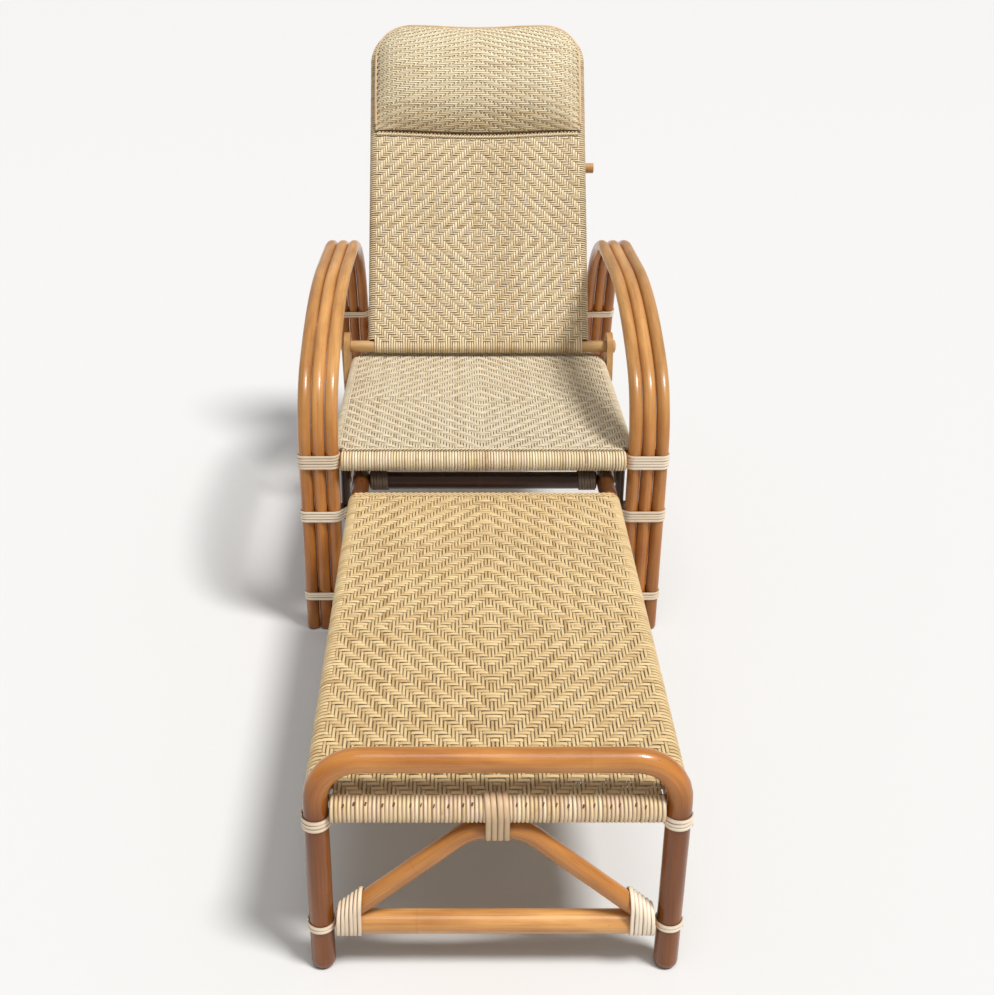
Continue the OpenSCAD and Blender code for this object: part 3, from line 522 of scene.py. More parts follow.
def floats(at, over, pitch, arch=0.35):
    """Places, heights and marks of a strand over and under the strands at these places; the marks give
    painted shade on its runs under.
    """
    where, height, mark = [], [], []
    for first, last, up in spans(over):
        bulge = rng.uniform(-0.12, 0.12)
        h = (WEAVE_RISE if up else -WEAVE_RISE) + bulge
        ends = (at[first] - 0.30 * pitch, at[last] + 0.30 * pitch)
        if up:
            where += [ends[0], (ends[0] + ends[1]) / 2, ends[1]]
            height += [h, h + arch, h]
            mark += [0, 0, 0]
        else:
            where += [ends[0], ends[1]]
            height += [h, h]
            mark += [1, 1]
    return np.array(where), np.array(height), np.array(mark, float)


def drift(count, every, draw):
    """Values drawn at every so many of a count, with even steps between them."""
    places = np.arange(0, count + every, every)
    return np.interp(np.arange(count), places, draw(len(places)))


def tones(count, spread=0.17, centre=0.56):
    """Strand tones that drift slowly from strand to strand."""
    slow = drift(count, 12, lambda number: rng.uniform(-0.12, 0.12, number))
    return np.clip(centre + slow + rng.normal(0, spread, count), 0, 1)


def uneven(count):
    """Small changes of tone along a strand."""
    return drift(count, 8, lambda number: rng.normal(0, 0.16, number)) + rng.normal(0, 0.06, count)


def wrap_round(lift):
    """[out, up] points of a strand that turns down and inwards round a pole."""
    return [((lift + WRAP_GAP) * sind(a), (lift + WRAP_GAP) * cosd(a)) for a in range(0, 221, 20)]


def panel(name, place, r, rows, cols, body, nodes, edge, mirror_y, start, finish, material,
          width=(0.92, 1.03)):
    """A panel woven over 3, under 3, on a frame of pole radius r, mirrored at mid width and at
    mirror_y. edge gives a row's reach and whether it wraps the side poles; start and finish give the
    ends of the lengthwise strands as [y, z] points; width is that of the lengthwise and of the across
    strands, in pitches."""
    lift = r + LIFT
    mirror_row = int(np.argmin(np.abs(rows - mirror_y)))
    across, upright = Strands(), Strands()
    col_pitch, row_pitch = np.diff(cols).mean(), np.diff(rows).mean()
    mid_col = (len(cols) - 1) / 2
    i = np.abs(np.arange(len(cols)) - mid_col).astype(int)
    k = np.abs(np.arange(len(rows)) - mirror_row).astype(int)
    over = ((i[None] + k[:, None]) % 6) < 3
    row_tones = None
    for row, y in enumerate(rows):
        reach, wrap = edge(y)
        inside = np.abs(cols) < reach - 1
        where, height, mark = floats(cols[inside], over[row][inside], col_pitch)
        path = [(x, y + 0.7 * math.sin(x / 55 + 1.7 * row), lift + h) for x, h in zip(where, height)]
        if wrap:
            right = [(reach + a, y, b) for a, b in wrap_round(lift)]
            left = [(-reach - a, y, b) for a, b in wrap_round(lift)][::-1]
        else:
            right, left = [(reach - 1, y, lift - 1.5)], [(1 - reach, y, lift - 1.5)]
        w = row_pitch * width[1] * rng.uniform(0.94, 1.03)
        if row_tones is None:
            row_tones = tones(len(rows))
        mark = np.concatenate([np.zeros(len(left)), mark, np.zeros(len(right))])
        across.sweep(place(left + path + right), place.turn([(0, -1, 0)]), cane_section(w, WEAVE_T),
                     row_tones[row] + uneven(len(mark)), knots_and_dive_shade=mark)
    col_tones = tones(len(cols))
    for col, x in enumerate(cols):
        (low, low_end), (high, high_end) = start(x), finish(x)
        inside = (rows > low) & (rows < high)
        where, height, mark = floats(rows[inside], ~over[:, col][inside], row_pitch)
        path = [(x + 0.35 * math.sin(y / 70 + col), y, lift + h) for y, h in zip(where, height)]
        head = [(x, y, z) for y, z in low_end(lift)]
        tail = [(x, y, z) for y, z in high_end(lift)]
        w = col_pitch * width[0] * rng.uniform(0.94, 1.03)
        mark = np.concatenate([np.zeros(len(head)), mark, np.zeros(len(tail))])
        upright.sweep(place(head + path + tail), place.turn([(1, 0, 0)]), cane_section(w, WEAVE_T),
                      col_tones[col] + uneven(len(mark)), knots_and_dive_shade=mark)
    across.make(name + "_across", material[0], body, "woven_cane", *nodes)
    upright.make(name + "_lengthwise", material[1], body, "woven_cane", *nodes)


def even(low, high, pitch):
    return np.linspace(low, high, int(round((high - low) / pitch)) + 1)


# Footrest panel
FOOT_X, FOOT_R, SLOPE = 240.5, 17.0, 3.75273
STRAND_PITCH = 5.6
FOOT_MIRROR, SEAT_MIRROR, BACK_MIRROR = 399, 296, 258
SIDE_LEN = (5.5 - FOOT_Y) / cosd(SLOPE)
MAT_END = SIDE_LEN - 89
foot_place = Place((0, FOOT_Y, FOOT_RAIL_Z), SLOPE)
foot_rows = np.concatenate([[10.0], 10 + np.cumsum(np.linspace(7.7, 6.5, 117))])
foot_rows = foot_rows * (MAT_END - 4) / foot_rows[-1]
foot_cols = even(-(FOOT_X - 3), FOOT_X - 3, STRAND_PITCH)


# The first rows and strands leave room for the bow's legs at the corners
FOOT_CORNER_Y, FOOT_CORNER_X = 21.5, FOOT_X - 24


def foot_edge(y):
    return (FOOT_X, True) if y > FOOT_CORNER_Y else (FOOT_CORNER_X, False)


def foot_start(x):
    first = 6 if abs(x) < FOOT_CORNER_X - 1 else 23
    return first, lambda h: [(first - 3, h - 3.0), (first, h - 1.2)]


def foot_finish(x):
    """The strands turn down at the panel's end and run back under it."""
    turn = ((-0.5, 0), (1.8, 1.5), (1.8, 3.5), (-1, 4.8), (-14, 5))
    return MAT_END, lambda h: [(MAT_END + far, h - down) for far, down in turn]


panel("footrest_weave", foot_place, FOOT_R, foot_rows, foot_cols, "footrest", ("foot_mat",), foot_edge,
      FOOT_MIRROR, foot_start, foot_finish, m_weave["footrest"])

# Seat panel
SEAT_X, SEAT_R, SEAT_Z, SEAT_REAR, SEAT_BEND = 285.5, 14.0, 379.5, 615.0, 30.0
seat_place = Place((0, 0, SEAT_Z), 0)
seat_rows = even(7, SEAT_REAR - 3, 6.5)
seat_cols = even(-(SEAT_X - 3), SEAT_X - 3, STRAND_PITCH)


def round_edge(half, bend, end, y):
    """Half width of a bent frame's centre line at y, round its far corners."""
    over = y - (end - bend)
    return half if over <= 0 else half - bend + math.sqrt(max(0, bend * bend - over * over))


# The seat's first rows and strands leave room for its frame's front ends
SEAT_CORNER_Y, SEAT_CORNER_X = 18, 277.0


def seat_edge(y):
    if y < SEAT_CORNER_Y:
        return SEAT_CORNER_X, False
    if y < SEAT_REAR - SEAT_BEND:
        return SEAT_X, True
    return min(SEAT_X - 3, round_edge(SEAT_X, SEAT_BEND, SEAT_REAR, y)), False


def seat_start(x):
    first = 4 if abs(x) < SEAT_CORNER_X - 1 else 19
    return first, lambda h: [(first - 5, h - 1.5), (first, h - 0.4)]


def far_wrap(half, bend, end):
    """Where the lengthwise strands of a bent frame meet its far rail, and their turn round it."""
    def finish(x):
        over = abs(x) - (half - bend)
        if over <= 0:
            return end, lambda h: [(end + a, b) for a, b in wrap_round(h)]
        y = end - bend + math.sqrt(max(0, bend * bend - over * over))
        return y - 2, lambda h: [(y - 1, h - 0.6), (y + 1, h - 2.0)]

    return finish


panel("seat_weave", seat_place, SEAT_R, seat_rows, seat_cols, "chair_frame", ("seat_mat",), seat_edge,
      SEAT_MIRROR, seat_start, far_wrap(SEAT_X, SEAT_BEND, SEAT_REAR), m_weave["seat"])

# Back panel
BACK_X, BACK_R, BACK_H, BACK_BEND, LEAN = 246.0, 13.0, 786.0, 72.0, 33.0
PIVOT = (0, 590.0, 418.5)
PIVOT_R = 13.5
back_place = Place(PIVOT, 90 - LEAN)
back_rows = even(10, BACK_H - 3, 5.35)
back_cols = even(-(BACK_X - 3), BACK_X - 3, STRAND_PITCH)


def back_edge(y):
    if 14 < y < BACK_H - BACK_BEND:
        return BACK_X, True
    return min(BACK_X - 3, round_edge(BACK_X, BACK_BEND, BACK_H, y)), False


def back_start(x):
    """The strands come up round the pivot bar."""
    r = PIVOT_R + LIFT + WRAP_GAP
    return 2, lambda h: [(-r * sind(a), r * cosd(a)) for a in range(200, -1, -20)]


panel("back_weave", back_place, BACK_R, back_rows, back_cols, "backrest", ("back_mat", "pivot_bar_winding"),
      back_edge, BACK_MIRROR, back_start, far_wrap(BACK_X, BACK_BEND, BACK_H), m_weave["back"],
      width=(0.94, 0.82))


def corner_wraps(name, place, r, half, bend, end, body, material):
    """Strands that wrap a bent frame's far corners."""
    s = Strands()
    for sign in (-1, 1):
        for a in np.arange(3, 88, 300 / bend):
            a = a + rng.uniform(-0.4, 0.4)
            out = np.array([sign * cosd(a), sind(a), 0])
            centre = np.array([sign * (half - bend), end - bend, 0]) + bend * out
            lift = r + LIFT + 0.5
            path = [centre + lift * (sind(t) * out + cosd(t) * np.array([0, 0, 1]))
                    for t in range(-70, 231, 20)]
            width = 5.4 * rng.uniform(0.95, 1.05)
            s.sweep(place(path), place.turn([np.cross([0, 0, 1], out)]), cane_section(width, WEAVE_T),
                    rng.uniform(0.2, 0.95))
    s.make(name, material, body, "woven_cane")


corner_wraps("seat_corner_wraps", seat_place, SEAT_R, SEAT_X, SEAT_BEND, SEAT_REAR, "chair_frame",
             m_weave["seat"][1])
corner_wraps("back_corner_wraps", back_place, BACK_R, BACK_X, BACK_BEND, BACK_H, "backrest",
             m_weave["back"][1])


# Bent frames
def bent(half, start, end, bend, place):
    """Centre line of a U-shaped pole, in its panel's plane."""
    step = 4
    path = [(-half, start, 0), (-half, end - bend, 0)]
    path += [(-half + bend - bend * cosd(a), end - bend + bend * sind(a), 0)
             for a in np.arange(step, 90.1, step)]
    path += [(half - bend + bend * sind(a), end - bend + bend * cosd(a), 0)
             for a in np.arange(0, 90.1, step)]
    path += [(half, start, 0)]
    return place(path)


pole("seat_frame_pole", "chair_frame", "seat_frame",
     bent(SEAT_X, 16.8, SEAT_REAR, SEAT_BEND, seat_place), SEAT_R, (0, 0, 1))
pole("back_frame_pole", "backrest", "back_frame",
     bent(BACK_X, 13.8, BACK_H, BACK_BEND, back_place), BACK_R, back_place.axes[2])

BOW_Z, BOW_BEND = 347.7, 62.0
bow_place = Place((0, FOOT_Y, 0), 90)
pole("footrest_bow", "footrest", "foot_bow", bent(FOOT_X, 0, BOW_Z, BOW_BEND, bow_place), FOOT_R,
     (0, 1, 0), rounded=(9, 9), dark=bow_painted_shade)

for side, word in SIDES:
    pole(f"{word}_footrest_side", "footrest", f"{word}_foot_side_pole",
         foot_place([(side * FOOT_X, 20.93, 0), (side * FOOT_X, SIDE_LEN + 76, 0)]), FOOT_R,
         (1, 0, 0), rounded=(0, 4), dark=side_painted_shade)

BRACE_Z, BRACE_R, BRACE_SLOPE, KNEE, BRACE_BEND, STRETCHER_Z = 236.7, 13.5, 40.7, 35.0, 60.0, 75.6
FALL = math.tan(math.radians(BRACE_SLOPE))
bend_start = KNEE - BRACE_BEND * math.tan(math.radians(BRACE_SLOPE / 2))
brace_end = KNEE + (BRACE_Z - STRETCHER_Z - 20) / FALL
half_brace = [(bend_start + BRACE_BEND * sind(h), BRACE_Z - BRACE_BEND * (1 - cosd(h)))
              for h in np.arange(0, BRACE_SLOPE + 0.1, BRACE_SLOPE / 10)]
half_brace.append((brace_end, BRACE_Z - (brace_end - KNEE) * FALL))
brace = [(-x, FOOT_Y, z) for x, z in half_brace[::-1]] + [(x, FOOT_Y, z) for x, z in half_brace]


def rest_on_stretcher(rings, tangent):
    """The brace's ends are cut flat inside the stretcher."""
    rings[..., 2] = np.maximum(rings[..., 2], STRETCHER_Z + FOOT_R * 0.6)
    return rings


pole("footrest_brace", "footrest", "foot_brace", brace, BRACE_R, (0, 1, 0),
     trim=rest_on_stretcher, step=8, dark=evenly_dark(0.32))


# Wound rails
WOUND_T = 2.6


def wound(name, body, node, radius, half, pitch, centre, material):
    """Strands side by side round a rail, each one a full ring that leans a little."""
    s = Strands()
    count = int(round(2 * half / pitch))
    shades = tones(count + 1, 0.2, 0.6)
    for i in range(count + 1):
        x = -half + i * 2 * half / count
        lean = rng.normal(0, 0.35)
        mid = radius + WOUND_T / 2 + rng.uniform(-0.25, 0.15)
        path = [(x + lean * sind(a / 2), centre[1] + mid * sind(a), centre[2] + mid * cosd(a))
                for a in range(-180, 181, 15)]
        s.sweep(path, (-1, 0, 0), cane_section(pitch * rng.uniform(0.95, 1.04), WOUND_T),
                shades[i] + uneven(len(path)))
    s.make(name, material, body, "woven_cane", node)


rail_centre, _ = box_mm("seat_front_rail")
wound("seat_rail_strands", "chair_frame", "seat_rail_winding", 17.15, 275, 5.4, rail_centre, m_wound)
foot_rail_centre, _ = box_mm("foot_front_rail")
wound("footrest_rail_strands", "footrest", "foot_rail_winding", 16.6, 218, 5.6, foot_rail_centre,
      m_wound_foot)

# Painted shade: small dark strands in the gaps between strands, along the footrest's rail but not under its
# middle lashing
GAP_R = 19.4
s = Strands()
for x in np.arange(-205, 206, 17.5):
    if abs(x) > 22:
        x += rng.uniform(-4, 4)
        turn = rng.uniform(-48, -34)
        path = [(x + 0.1 * a, foot_rail_centre[1] + GAP_R * sind(turn + a),
                 foot_rail_centre[2] + GAP_R * cosd(turn + a)) for a in (-7, 0, 7)]
        s.sweep(path, (-1, 0, 0), flat_cane(rng.uniform(1.6, 3.0), 1.0), 0.5)
s.make("footrest_rail_gap_shade", m_seam, "footrest", "woven_cane")

# Lashings
STRAND_W, STRAND_T, TURN, SLACK, BELT_STEPS = 5.7, 2.4, 5.8, 0.25, 12


def belt(circles, steps):
    """Points of the loop drawn tightly round circles [x, y, radius]; steps is for half a turn."""
    n = len(circles)
    if n == 1:
        x, y, r = circles[0]
        return [(x + r * cosd(a), y + r * sind(a)) for a in np.arange(0, 360, 360 / (2 * steps))]

    def tangent_to(a, b):
        dx, dy = b[0] - a[0], b[1] - a[1]
        narrowing = math.asin((a[2] - b[2]) / math.hypot(dx, dy))
        return math.degrees(math.atan2(dy, dx)) - 90 + math.degrees(narrowing)

    out = []
    for i in range(n):
        c = circles[i]
        a0 = tangent_to(circles[i - 1], c)
        span = (tangent_to(c, circles[(i + 1) % n]) - a0) % 360
        count = max(2, int(round(steps * span / 180)))
        for k in range(count + 1):
            a = a0 + span * k / count
            out.append((c[0] + c[2] * cosd(a), c[1] + c[2] * sind(a)))
    return out


def lashing(s, place, turns, circles, last=None, pitch=TURN, width=STRAND_W):
    """A strand wound round circles in the plane of a place's first two axes. From the first turn
    to the last the circles may change; each turn has the same number of points."""
    last = last or circles
    length = len(belt(circles, BELT_STEPS))
    path = []
    for k in range(turns * length + 1):
        t = k / (turns * length)
        now = [tuple(a + t * (b - a) for a, b in zip(c, d)) for c, d in zip(circles, last)]
        x, y = belt(now, BELT_STEPS)[k % length]
        rise = pitch * (k / length - turns / 2)
        path.append((x, y, rise + SLACK * math.sin(k * 0.37 + turns)))
    tone = rng.uniform(0.35, 0.9)
    first, second = np.array(path[0]), np.array(path[1])
    start = first - 3 * (second - first) / np.linalg.norm(second - first)
    s.sweep(place([start] + path), place.turn([(0, 0, -1)]), flat_cane(width, STRAND_T), tone)


def path_r(r):
    """Radius of the middle of a strand that is wound round a pole of radius r."""
    return r + 0.3 + STRAND_T / 2


def frame_at(origin, x_axis, y_axis):
    """A place with its first two axes given."""
    place = Place(origin, 0)
    place.axes = np.array([x_axis, y_axis, np.cross(x_axis, y_axis)], float)
    return place


POST_X, POST_Y, POST_R = 273.6, box_mm("front_posts")[0][1], 9.0
REAR_TIE_Z = 400
for side, word in SIDES:
    s = Strands()
    # The turns start and end behind the inner pole
    pair = [(ARM_X[0], 0, path_r(ARM_R)), (ARM_X[2], 0, path_r(ARM_R))]
    ring = [(POST_X, POST_Y, path_r(POST_R)), pair[0], pair[1]]
    for z, turns, circles in ((376, 5, pair), (259.5, 4, ring), (79.5, 3, pair)):
        lashing(s, frame_at((0, 0, z), (side, 0, 0), (0, 1, 0)), turns, circles)
    lean = (0, cosd(REAR_LEAN), sind(REAR_LEAN))
    lashing(s, frame_at((0, rear_leg_y(REAR_TIE_Z), REAR_TIE_Z), (side, 0, 0), lean), 3, pair)
    s.make(f"{word}_arm_binding", m_bind, "chair_frame", "binding_cane", f"{word}_arm_lashings")

s = Strands()
leg = [(0, 0, path_r(FOOT_R))]
for side in (-1, 1):
    lashing(s, frame_at((side * FOOT_X, FOOT_Y, FOOT_RAIL_Z - 16.5), (side, 0, 0), (0, 1, 0)), 3, leg)
s.make("footrest_corner_binding", m_bind, "footrest", "binding_cane", "foot_corner_lashings")

s = Strands()
# The tee lashings take in brace and stretcher, and follow the brace's fall
TEE_TURNS = 6
tee_len = TURN * TEE_TURNS
tee_x0 = 184.0
rise = BRACE_Z - (tee_x0 - 2.6 - KNEE) * FALL + BRACE_R / cosd(BRACE_SLOPE) - STRETCHER_Z - FOOT_R
fall = tee_len * FALL
for side in (-1, 1):
    lashing(s, frame_at((side * FOOT_X, FOOT_Y, STRETCHER_Z), (side, 0, 0), (0, 1, 0)), 2, leg)
    place = frame_at((side * (tee_x0 + tee_len / 2), FOOT_Y, STRETCHER_Z), (0, 1, 0), (0, 0, 1))
    if side < 0:
        place.axes[2] *= -1
    lashing(s, place, TEE_TURNS, [(0, max(1, rise), path_r(FOOT_R)), (0, 0, path_r(FOOT_R))],
            [(0, max(1, rise - fall), path_r(FOOT_R)), (0, 0, path_r(FOOT_R))])
s.make("footrest_tee_binding", m_bind, "footrest", "binding_cane", "foot_tee_lashings")

s = Strands()
lashing(s, frame_at((0, FOOT_Y, BRACE_Z), (0, 1, 0), (0, 0, 1)), 4,
        [(0, FOOT_RAIL_Z - BRACE_Z, path_r(19.6)), (0, 0, path_r(BRACE_R))], pitch=8.2, width=8.0)
s.make("footrest_middle_binding", m_bind_mid, "footrest", "binding_cane", "foot_middle_lashing")

bar_centre, _ = box_mm("foot_crossbar")
_, sleeve_half = box_mm("foot_crossbar_sleeves")
s = Strands()
for side in (-1, 1):
    middle = side * (sleeve_half[0] - 16.5)
    lashing(s, frame_at((middle, *bar_centre[1:]), (0, 1, 0), (0, 0, 1)), 6, leg, pitch=5.6)
s.make("footrest_crossbar_binding", m_bind_dark, "footrest", "binding_cane", "foot_crossbar_sleeves")

# Head pillow
PILLOW_Z0, PILLOW_TOP, PILLOW_HALF, PILLOW_T = 530.0, 801.5, 249.0, 66.0
PILLOW_DIP = PILLOW_SAG = 8.0
PILLOW_BACK = BACK_R + 2.8
PILLOW_CORNER = BACK_BEND + BACK_R + 2.5


def pillow_surface(u, v):
    """Point of the pillow's front for u in -1..1 across and v in 0..1 upwards."""
    u, v = np.broadcast_arrays(np.asarray(u, float), np.asarray(v, float))
    bow = np.cos(np.pi / 2 * u) ** 2
    low, high = PILLOW_Z0 - PILLOW_SAG * bow * (1 - v) ** 6, PILLOW_TOP - PILLOW_DIP * bow * v**6
    z = low + (high - low) * v
    over = np.clip(z - (PILLOW_TOP - PILLOW_CORNER), 0, PILLOW_CORNER)
    half = PILLOW_HALF - (PILLOW_CORNER - np.sqrt(PILLOW_CORNER**2 - over**2))
    crown = np.clip(np.sin(np.pi * v), 0, 1) ** 0.62 * np.clip(1 - np.abs(u) ** 7, 0, 1) ** 0.6
    return np.stack([u * half, z, PILLOW_BACK + 2 + (PILLOW_T - 2) * crown], axis=-1)


def pillow_normal(u, v):
    """Outward normal of the pillow's front."""
    step = 1e-3
    du = pillow_surface(np.clip(u + step, -1, 1), v) - pillow_surface(np.clip(u - step, -1, 1), v)
    dv = pillow_surface(u, np.clip(v + step, 0, 1)) - pillow_surface(u, np.clip(v - step, 0, 1))
    normal = np.cross(du, dv)
    return normal / np.maximum(np.linalg.norm(normal, axis=-1, keepdims=True), 1e-9)


def even_v(count):
    """Rows that are evenly far apart over the pillow's crown."""
    v = np.linspace(0.012, 0.988, 400)
    line = pillow_surface(np.zeros(400), v)
    far = np.concatenate([[0], np.cumsum(np.linalg.norm(np.diff(line, axis=0), axis=1))])
    return np.interp(np.linspace(0, far[-1], count), far, v)


def painted_underside_shade(v):
    """Painted shade: the pillow's strands are darker near its lower edge, where it turns downwards."""
    return np.interp(v, (0.03, 0.20), (0.42, 0.0))


pillow_rows = even_v(70)
pillow_cols = np.linspace(-0.985, 0.985, 47)
mid = (len(pillow_cols) - 1) / 2
i = np.abs(np.arange(len(pillow_cols)) - mid).astype(int)
over = ((i[None] + np.arange(len(pillow_rows))[:, None]) % 4) < 3
SINK = 1.6


def pillow_strand(strands, u, v, height, mark, section, tone):
    """One strand of the cover, along u or along v."""
    up = pillow_normal(u, v)
    path = pillow_surface(u, v) + (height - SINK)[:, None] * up
    along = np.gradient(path, axis=0)
    side = -np.cross(up, along / np.linalg.norm(along, axis=1)[:, None])
    strands.sweep(back_place(path), back_place.turn(side), section, tone - painted_underside_shade(v) + uneven(len(mark)),
                  knots_and_dive_shade=mark)


rows_strands, cols_strands = Strands(), Strands()
row_shades, col_shades = tones(len(pillow_rows), 0.13), tones(len(pillow_cols), 0.13)
for row, v in enumerate(pillow_rows):
    u, height, mark = floats(pillow_cols, over[row], pillow_cols[1] - pillow_cols[0], 0.7)
    pillow_strand(rows_strands, np.clip(u, -0.995, 0.995), v, height, mark, cane_section(4.1, 1.8),
                  row_shades[row])
for col, u in enumerate(pillow_cols):
    v, height, mark = floats(pillow_rows, ~over[:, col], 0.0135, 0.1)
    pillow_strand(cols_strands, u, np.clip(v, 0.004, 0.996), height, mark, cane_section(6.4, WEAVE_T),
                  col_shades[col])
rows_strands.make("pillow_weave_across", m_pillow, "backrest", "pillow_cane", "head_pillow")
cols_strands.make("pillow_weave_upright", m_pillow, "backrest", "pillow_cane", "head_pillow")


def pillow_core():
    """A closed crowned cushion just under the weave, painted dark: painted shade between the strands."""
    nu, nv = 49, 33
    u = np.sign(np.linspace(-1, 1, nu)) * np.abs(np.linspace(-1, 1, nu)) ** 0.7
    v = 0.5 - 0.5 * np.cos(np.pi * np.linspace(0, 1, nv))
    uu, vv = np.meshgrid(u, v)
    front = pillow_surface(uu, vv)
    front[..., 2] = np.maximum(front[..., 2] - 3.4, PILLOW_BACK + 0.5)
    rear = front.copy()
    rear[..., 2] = PILLOW_BACK
    pts = back_place(np.concatenate([front.reshape(-1, 3), rear.reshape(-1, 3)]))
    pts[:, 1] += SHIFT
    faces, n = [], nu * nv
    for j in range(nv - 1):
        for k in range(nu - 1):
            a = j * nu + k
            faces.append((a, a + 1, a + nu + 1, a + nu))
            faces.append((n + a, n + a + nu, n + a + nu + 1, n + a + 1))
    rim = list(range(nu)) + [j * nu + nu - 1 for j in range(1, nv)]
    rim += [(nv - 1) * nu + k for k in range(nu - 2, -1, -1)] + [j * nu for j in range(nv - 2, 0, -1)]
    for a, b in zip(rim, rim[1:] + rim[:1]):
        faces.append((a, n + a, n + b, b))
    mesh = bpy.data.meshes.new("pillow_core")
    mesh.from_pydata((pts / 1000).tolist(), [], faces)
    mesh.update()
    mesh.shade_smooth()
    mesh.materials.append(m_core)
    piece = new_object("pillow_core", mesh)
    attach(piece, "backrest")
    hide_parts("head_pillow")


pillow_core()

# Twined edges and seams
def twist(s, place, line, pitch, out, width=3.6, size=1.5):
    """Two strands twined round each other along a line of places, over a surface."""
    points, far = along_path(line, pitch / 8)
    tangent = np.gradient(points, axis=0)
    tangent /= np.linalg.norm(tangent, axis=1)[:, None]
    out = np.broadcast_to(np.asarray(out, float), points.shape)
    across = np.cross(out, tangent)
    for start in (0.0, math.pi):
        a = 2 * np.pi * far / pitch + start
        path = points + size * (np.sin(a)[:, None] * across + np.cos(a)[:, None] * out)
        # Painted shade on each strand where it turns under the other
        s.sweep(place(path), place.turn(across), round_cane(width, 2.6, 6),
                rng.uniform(0.5, 0.9, len(path)), knots_and_dive_shade=0.5 - 0.5 * np.cos(a))


s = Strands()
twist(s, seat_place, [(-270, 3.5, SEAT_R + 3.4), (270, 3.5, SEAT_R + 3.4)], 15, (0, 0, 1), 4.6, 2.2)
s.make("seat_edge_twining", m_weave["seat"][0], "chair_frame", "woven_cane")
s = Strands()
for end in (MAT_END - 5, MAT_END - 12):
    line = [(x, end, FOOT_R + lift) for x, lift in ((-FOOT_X - 6, 1.6), (-FOOT_X + 12, 2.6),
                                                    (FOOT_X - 12, 2.6), (FOOT_X + 6, 1.6))]
    twist(s, foot_place, line, 21, (0, 0, 1))
s.make("footrest_edge_twining", m_weave["footrest"][0], "footrest", "woven_cane")


def seam_line(drop, z, reach):
    """A line across the back, a drop below the pillow's sagging lower edge."""
    return [(x, PILLOW_Z0 - drop - PILLOW_SAG * math.cos(math.pi / 2 * x / PILLOW_HALF) ** 2, z)
            for x in np.linspace(-reach, reach, 41)]


s = Strands()
twist(s, back_place, seam_line(6.5, BACK_R + 4.2, BACK_X - 2), 13, (0, 0, 1), 4.2, 1.9)
# Small loops stand up from the twined row into the dark seam, with painted shade at their feet
LOOP = np.array([(-3.4, -2.6, 0), (-1.6, 3.2, 1.2), (0.4, 4.6, 1.5), (2.2, 3.2, 1.2), (3.2, -2.6, 0)])
LOOP_DIVE_SHADE = [0.6, 0.2, 0.0, 0.2, 0.6]
for foot in along_path(seam_line(5.5, BACK_R + 4.6, BACK_X - 8), 9.0)[0]:
    s.sweep(back_place(foot + LOOP), back_place.turn([(0, 0, 1)]), round_cane(3.2, 2.6, 6),
            rng.uniform(0.4, 0.9), knots_and_dive_shade=LOOP_DIVE_SHADE)
s.make("pillow_seam_twining", m_weave["back"][1], "backrest", "woven_cane")
# The seam's dark lacing, darkened further as the seam's painted shade
s = Strands()
line = np.array(seam_line(0.5, BACK_R + 4.0, BACK_X - 1))
line[:, 1] += 1.6 * np.sin(line[:, 0] * 2 * np.pi / 13)
s.sweep(back_place(line), back_place.turn([(0, 1, 0)]), flat_cane(6.5, 3.0), 0.5)
s.make("pillow_seam_lacing_and_shade", m_seam, "backrest", "pillow_cane")

# The piping runs up one side of the pillow, along its top and down the other side
side_v = np.linspace(0.06, 0.97, 30)
rim = np.concatenate([pillow_surface(-0.988, side_v), pillow_surface(np.linspace(-0.97, 0.97, 120), 0.986),
                      pillow_surface(0.988, side_v[::-1])])
rim, _ = along_path(rim, 5)
for _ in range(12):
    rim[1:-1] = (rim[:-2] + 2 * rim[1:-1] + rim[2:]) / 4
s = Strands()
s.sweep(back_place(rim), back_place.turn([(0, 0, 1)]), round_cane(9.0, 7.0, 12), 0.6 + uneven(len(rim)))
s.make("pillow_piping", m_piping, "backrest", "pillow_cane", "head_pillow")

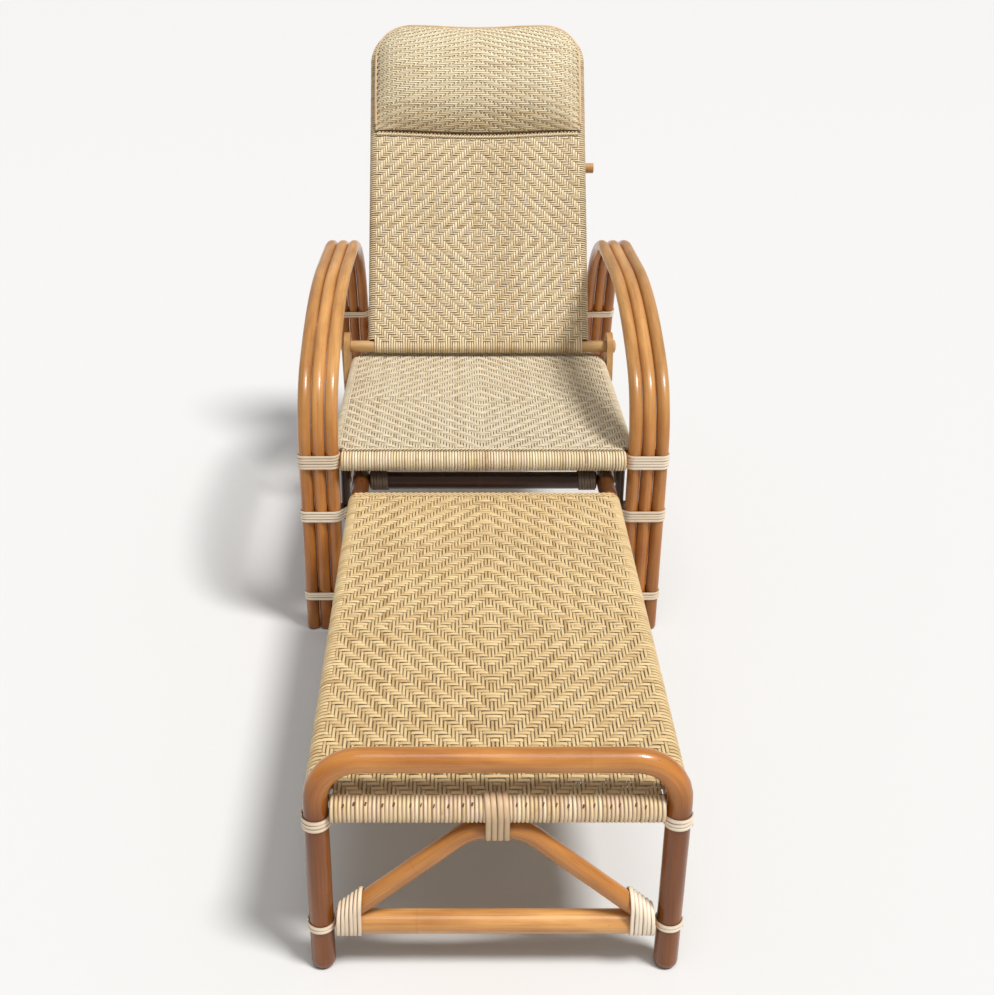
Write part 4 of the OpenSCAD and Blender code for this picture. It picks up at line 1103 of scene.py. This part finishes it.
# CAD nodes that stay
for node, material in (("front_posts", m_post), ("left_ear", m_ear), ("right_ear", m_ear),
                       ("ear_pegs", m_peeled[0]), ("pivot_bar", m_peeled[0]), ("pivot_caps", m_peeled[0]),
                       ("prop_dowel", m_dowel), ("foot_slide_pegs", m_peeled[0]),
                       ("left_prop_leg", m_peeled[2]), ("right_prop_leg", m_peeled[2]),
                       ("left_prop_rack", m_peeled[2]), ("right_prop_rack", m_peeled[2])):
    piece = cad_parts[node]
    piece.data.materials.clear()
    piece.data.materials.append(material)

# Floor, light and camera
floor_mesh = bpy.data.meshes.new("floor")
corners = [(x, y, -0.0008) for x, y in ((-40, -40), (40, -40), (40, 60), (-40, 60))]
floor_mesh.from_pydata(corners, [], [(0, 1, 2, 3)])
floor = new_object("floor", floor_mesh)
floor_look = Surface("floor")
floor_look.set({"Base Color": (0.70, 0.70, 0.70, 1), "Roughness": 0.9})
floor_mesh.materials.append(floor_look.material)

world = bpy.data.worlds.new("studio")
world.use_nodes = True
background = world.node_tree.nodes["Background"]
background.inputs["Color"].default_value = (1.0, 0.99, 0.98, 1)
background.inputs["Strength"].default_value = 0.34
bpy.context.scene.world = world
bpy.context.scene.view_settings.view_transform = "Standard"


def soft_sun(name, direction, strength, spread, colour):
    """A distant soft light that shines along a direction."""
    light = bpy.data.lights.new(name, "SUN")
    light.energy = strength
    light.angle = math.radians(spread)
    light.color = colour
    new_object(name, light).rotation_euler = Vector(direction).to_track_quat("-Z", "Y").to_euler()


soft_sun("key", (-0.45, 0.3, -1.0), 3.0, 14, (1.0, 0.985, 0.96))
soft_sun("top", (0.0, 0.3, -1.0), 0.6, 28, (0.98, 0.99, 1.0))

# The camera fitted to the photograph: focal length, columns and side in pixels, tilt in degrees
FOCAL_PX, MIDDLE_PX, CENTRE_PX, LONG_SIDE_PX, TILT = 1250, 454.3, 497, 995, 24.76
cam = bpy.data.cameras.new("camera")
cam.sensor_width = 36
cam.lens = FOCAL_PX * cam.sensor_width / LONG_SIDE_PX
cam.shift_x = (CENTRE_PX - MIDDLE_PX) / LONG_SIDE_PX
camera = new_object("camera", cam)
camera.location = (-0.0569, (-2252.7 + SHIFT) / 1000, 1.3347)
camera.rotation_euler = (math.radians(90 - TILT), 0, 0)
bpy.context.scene.camera = camera
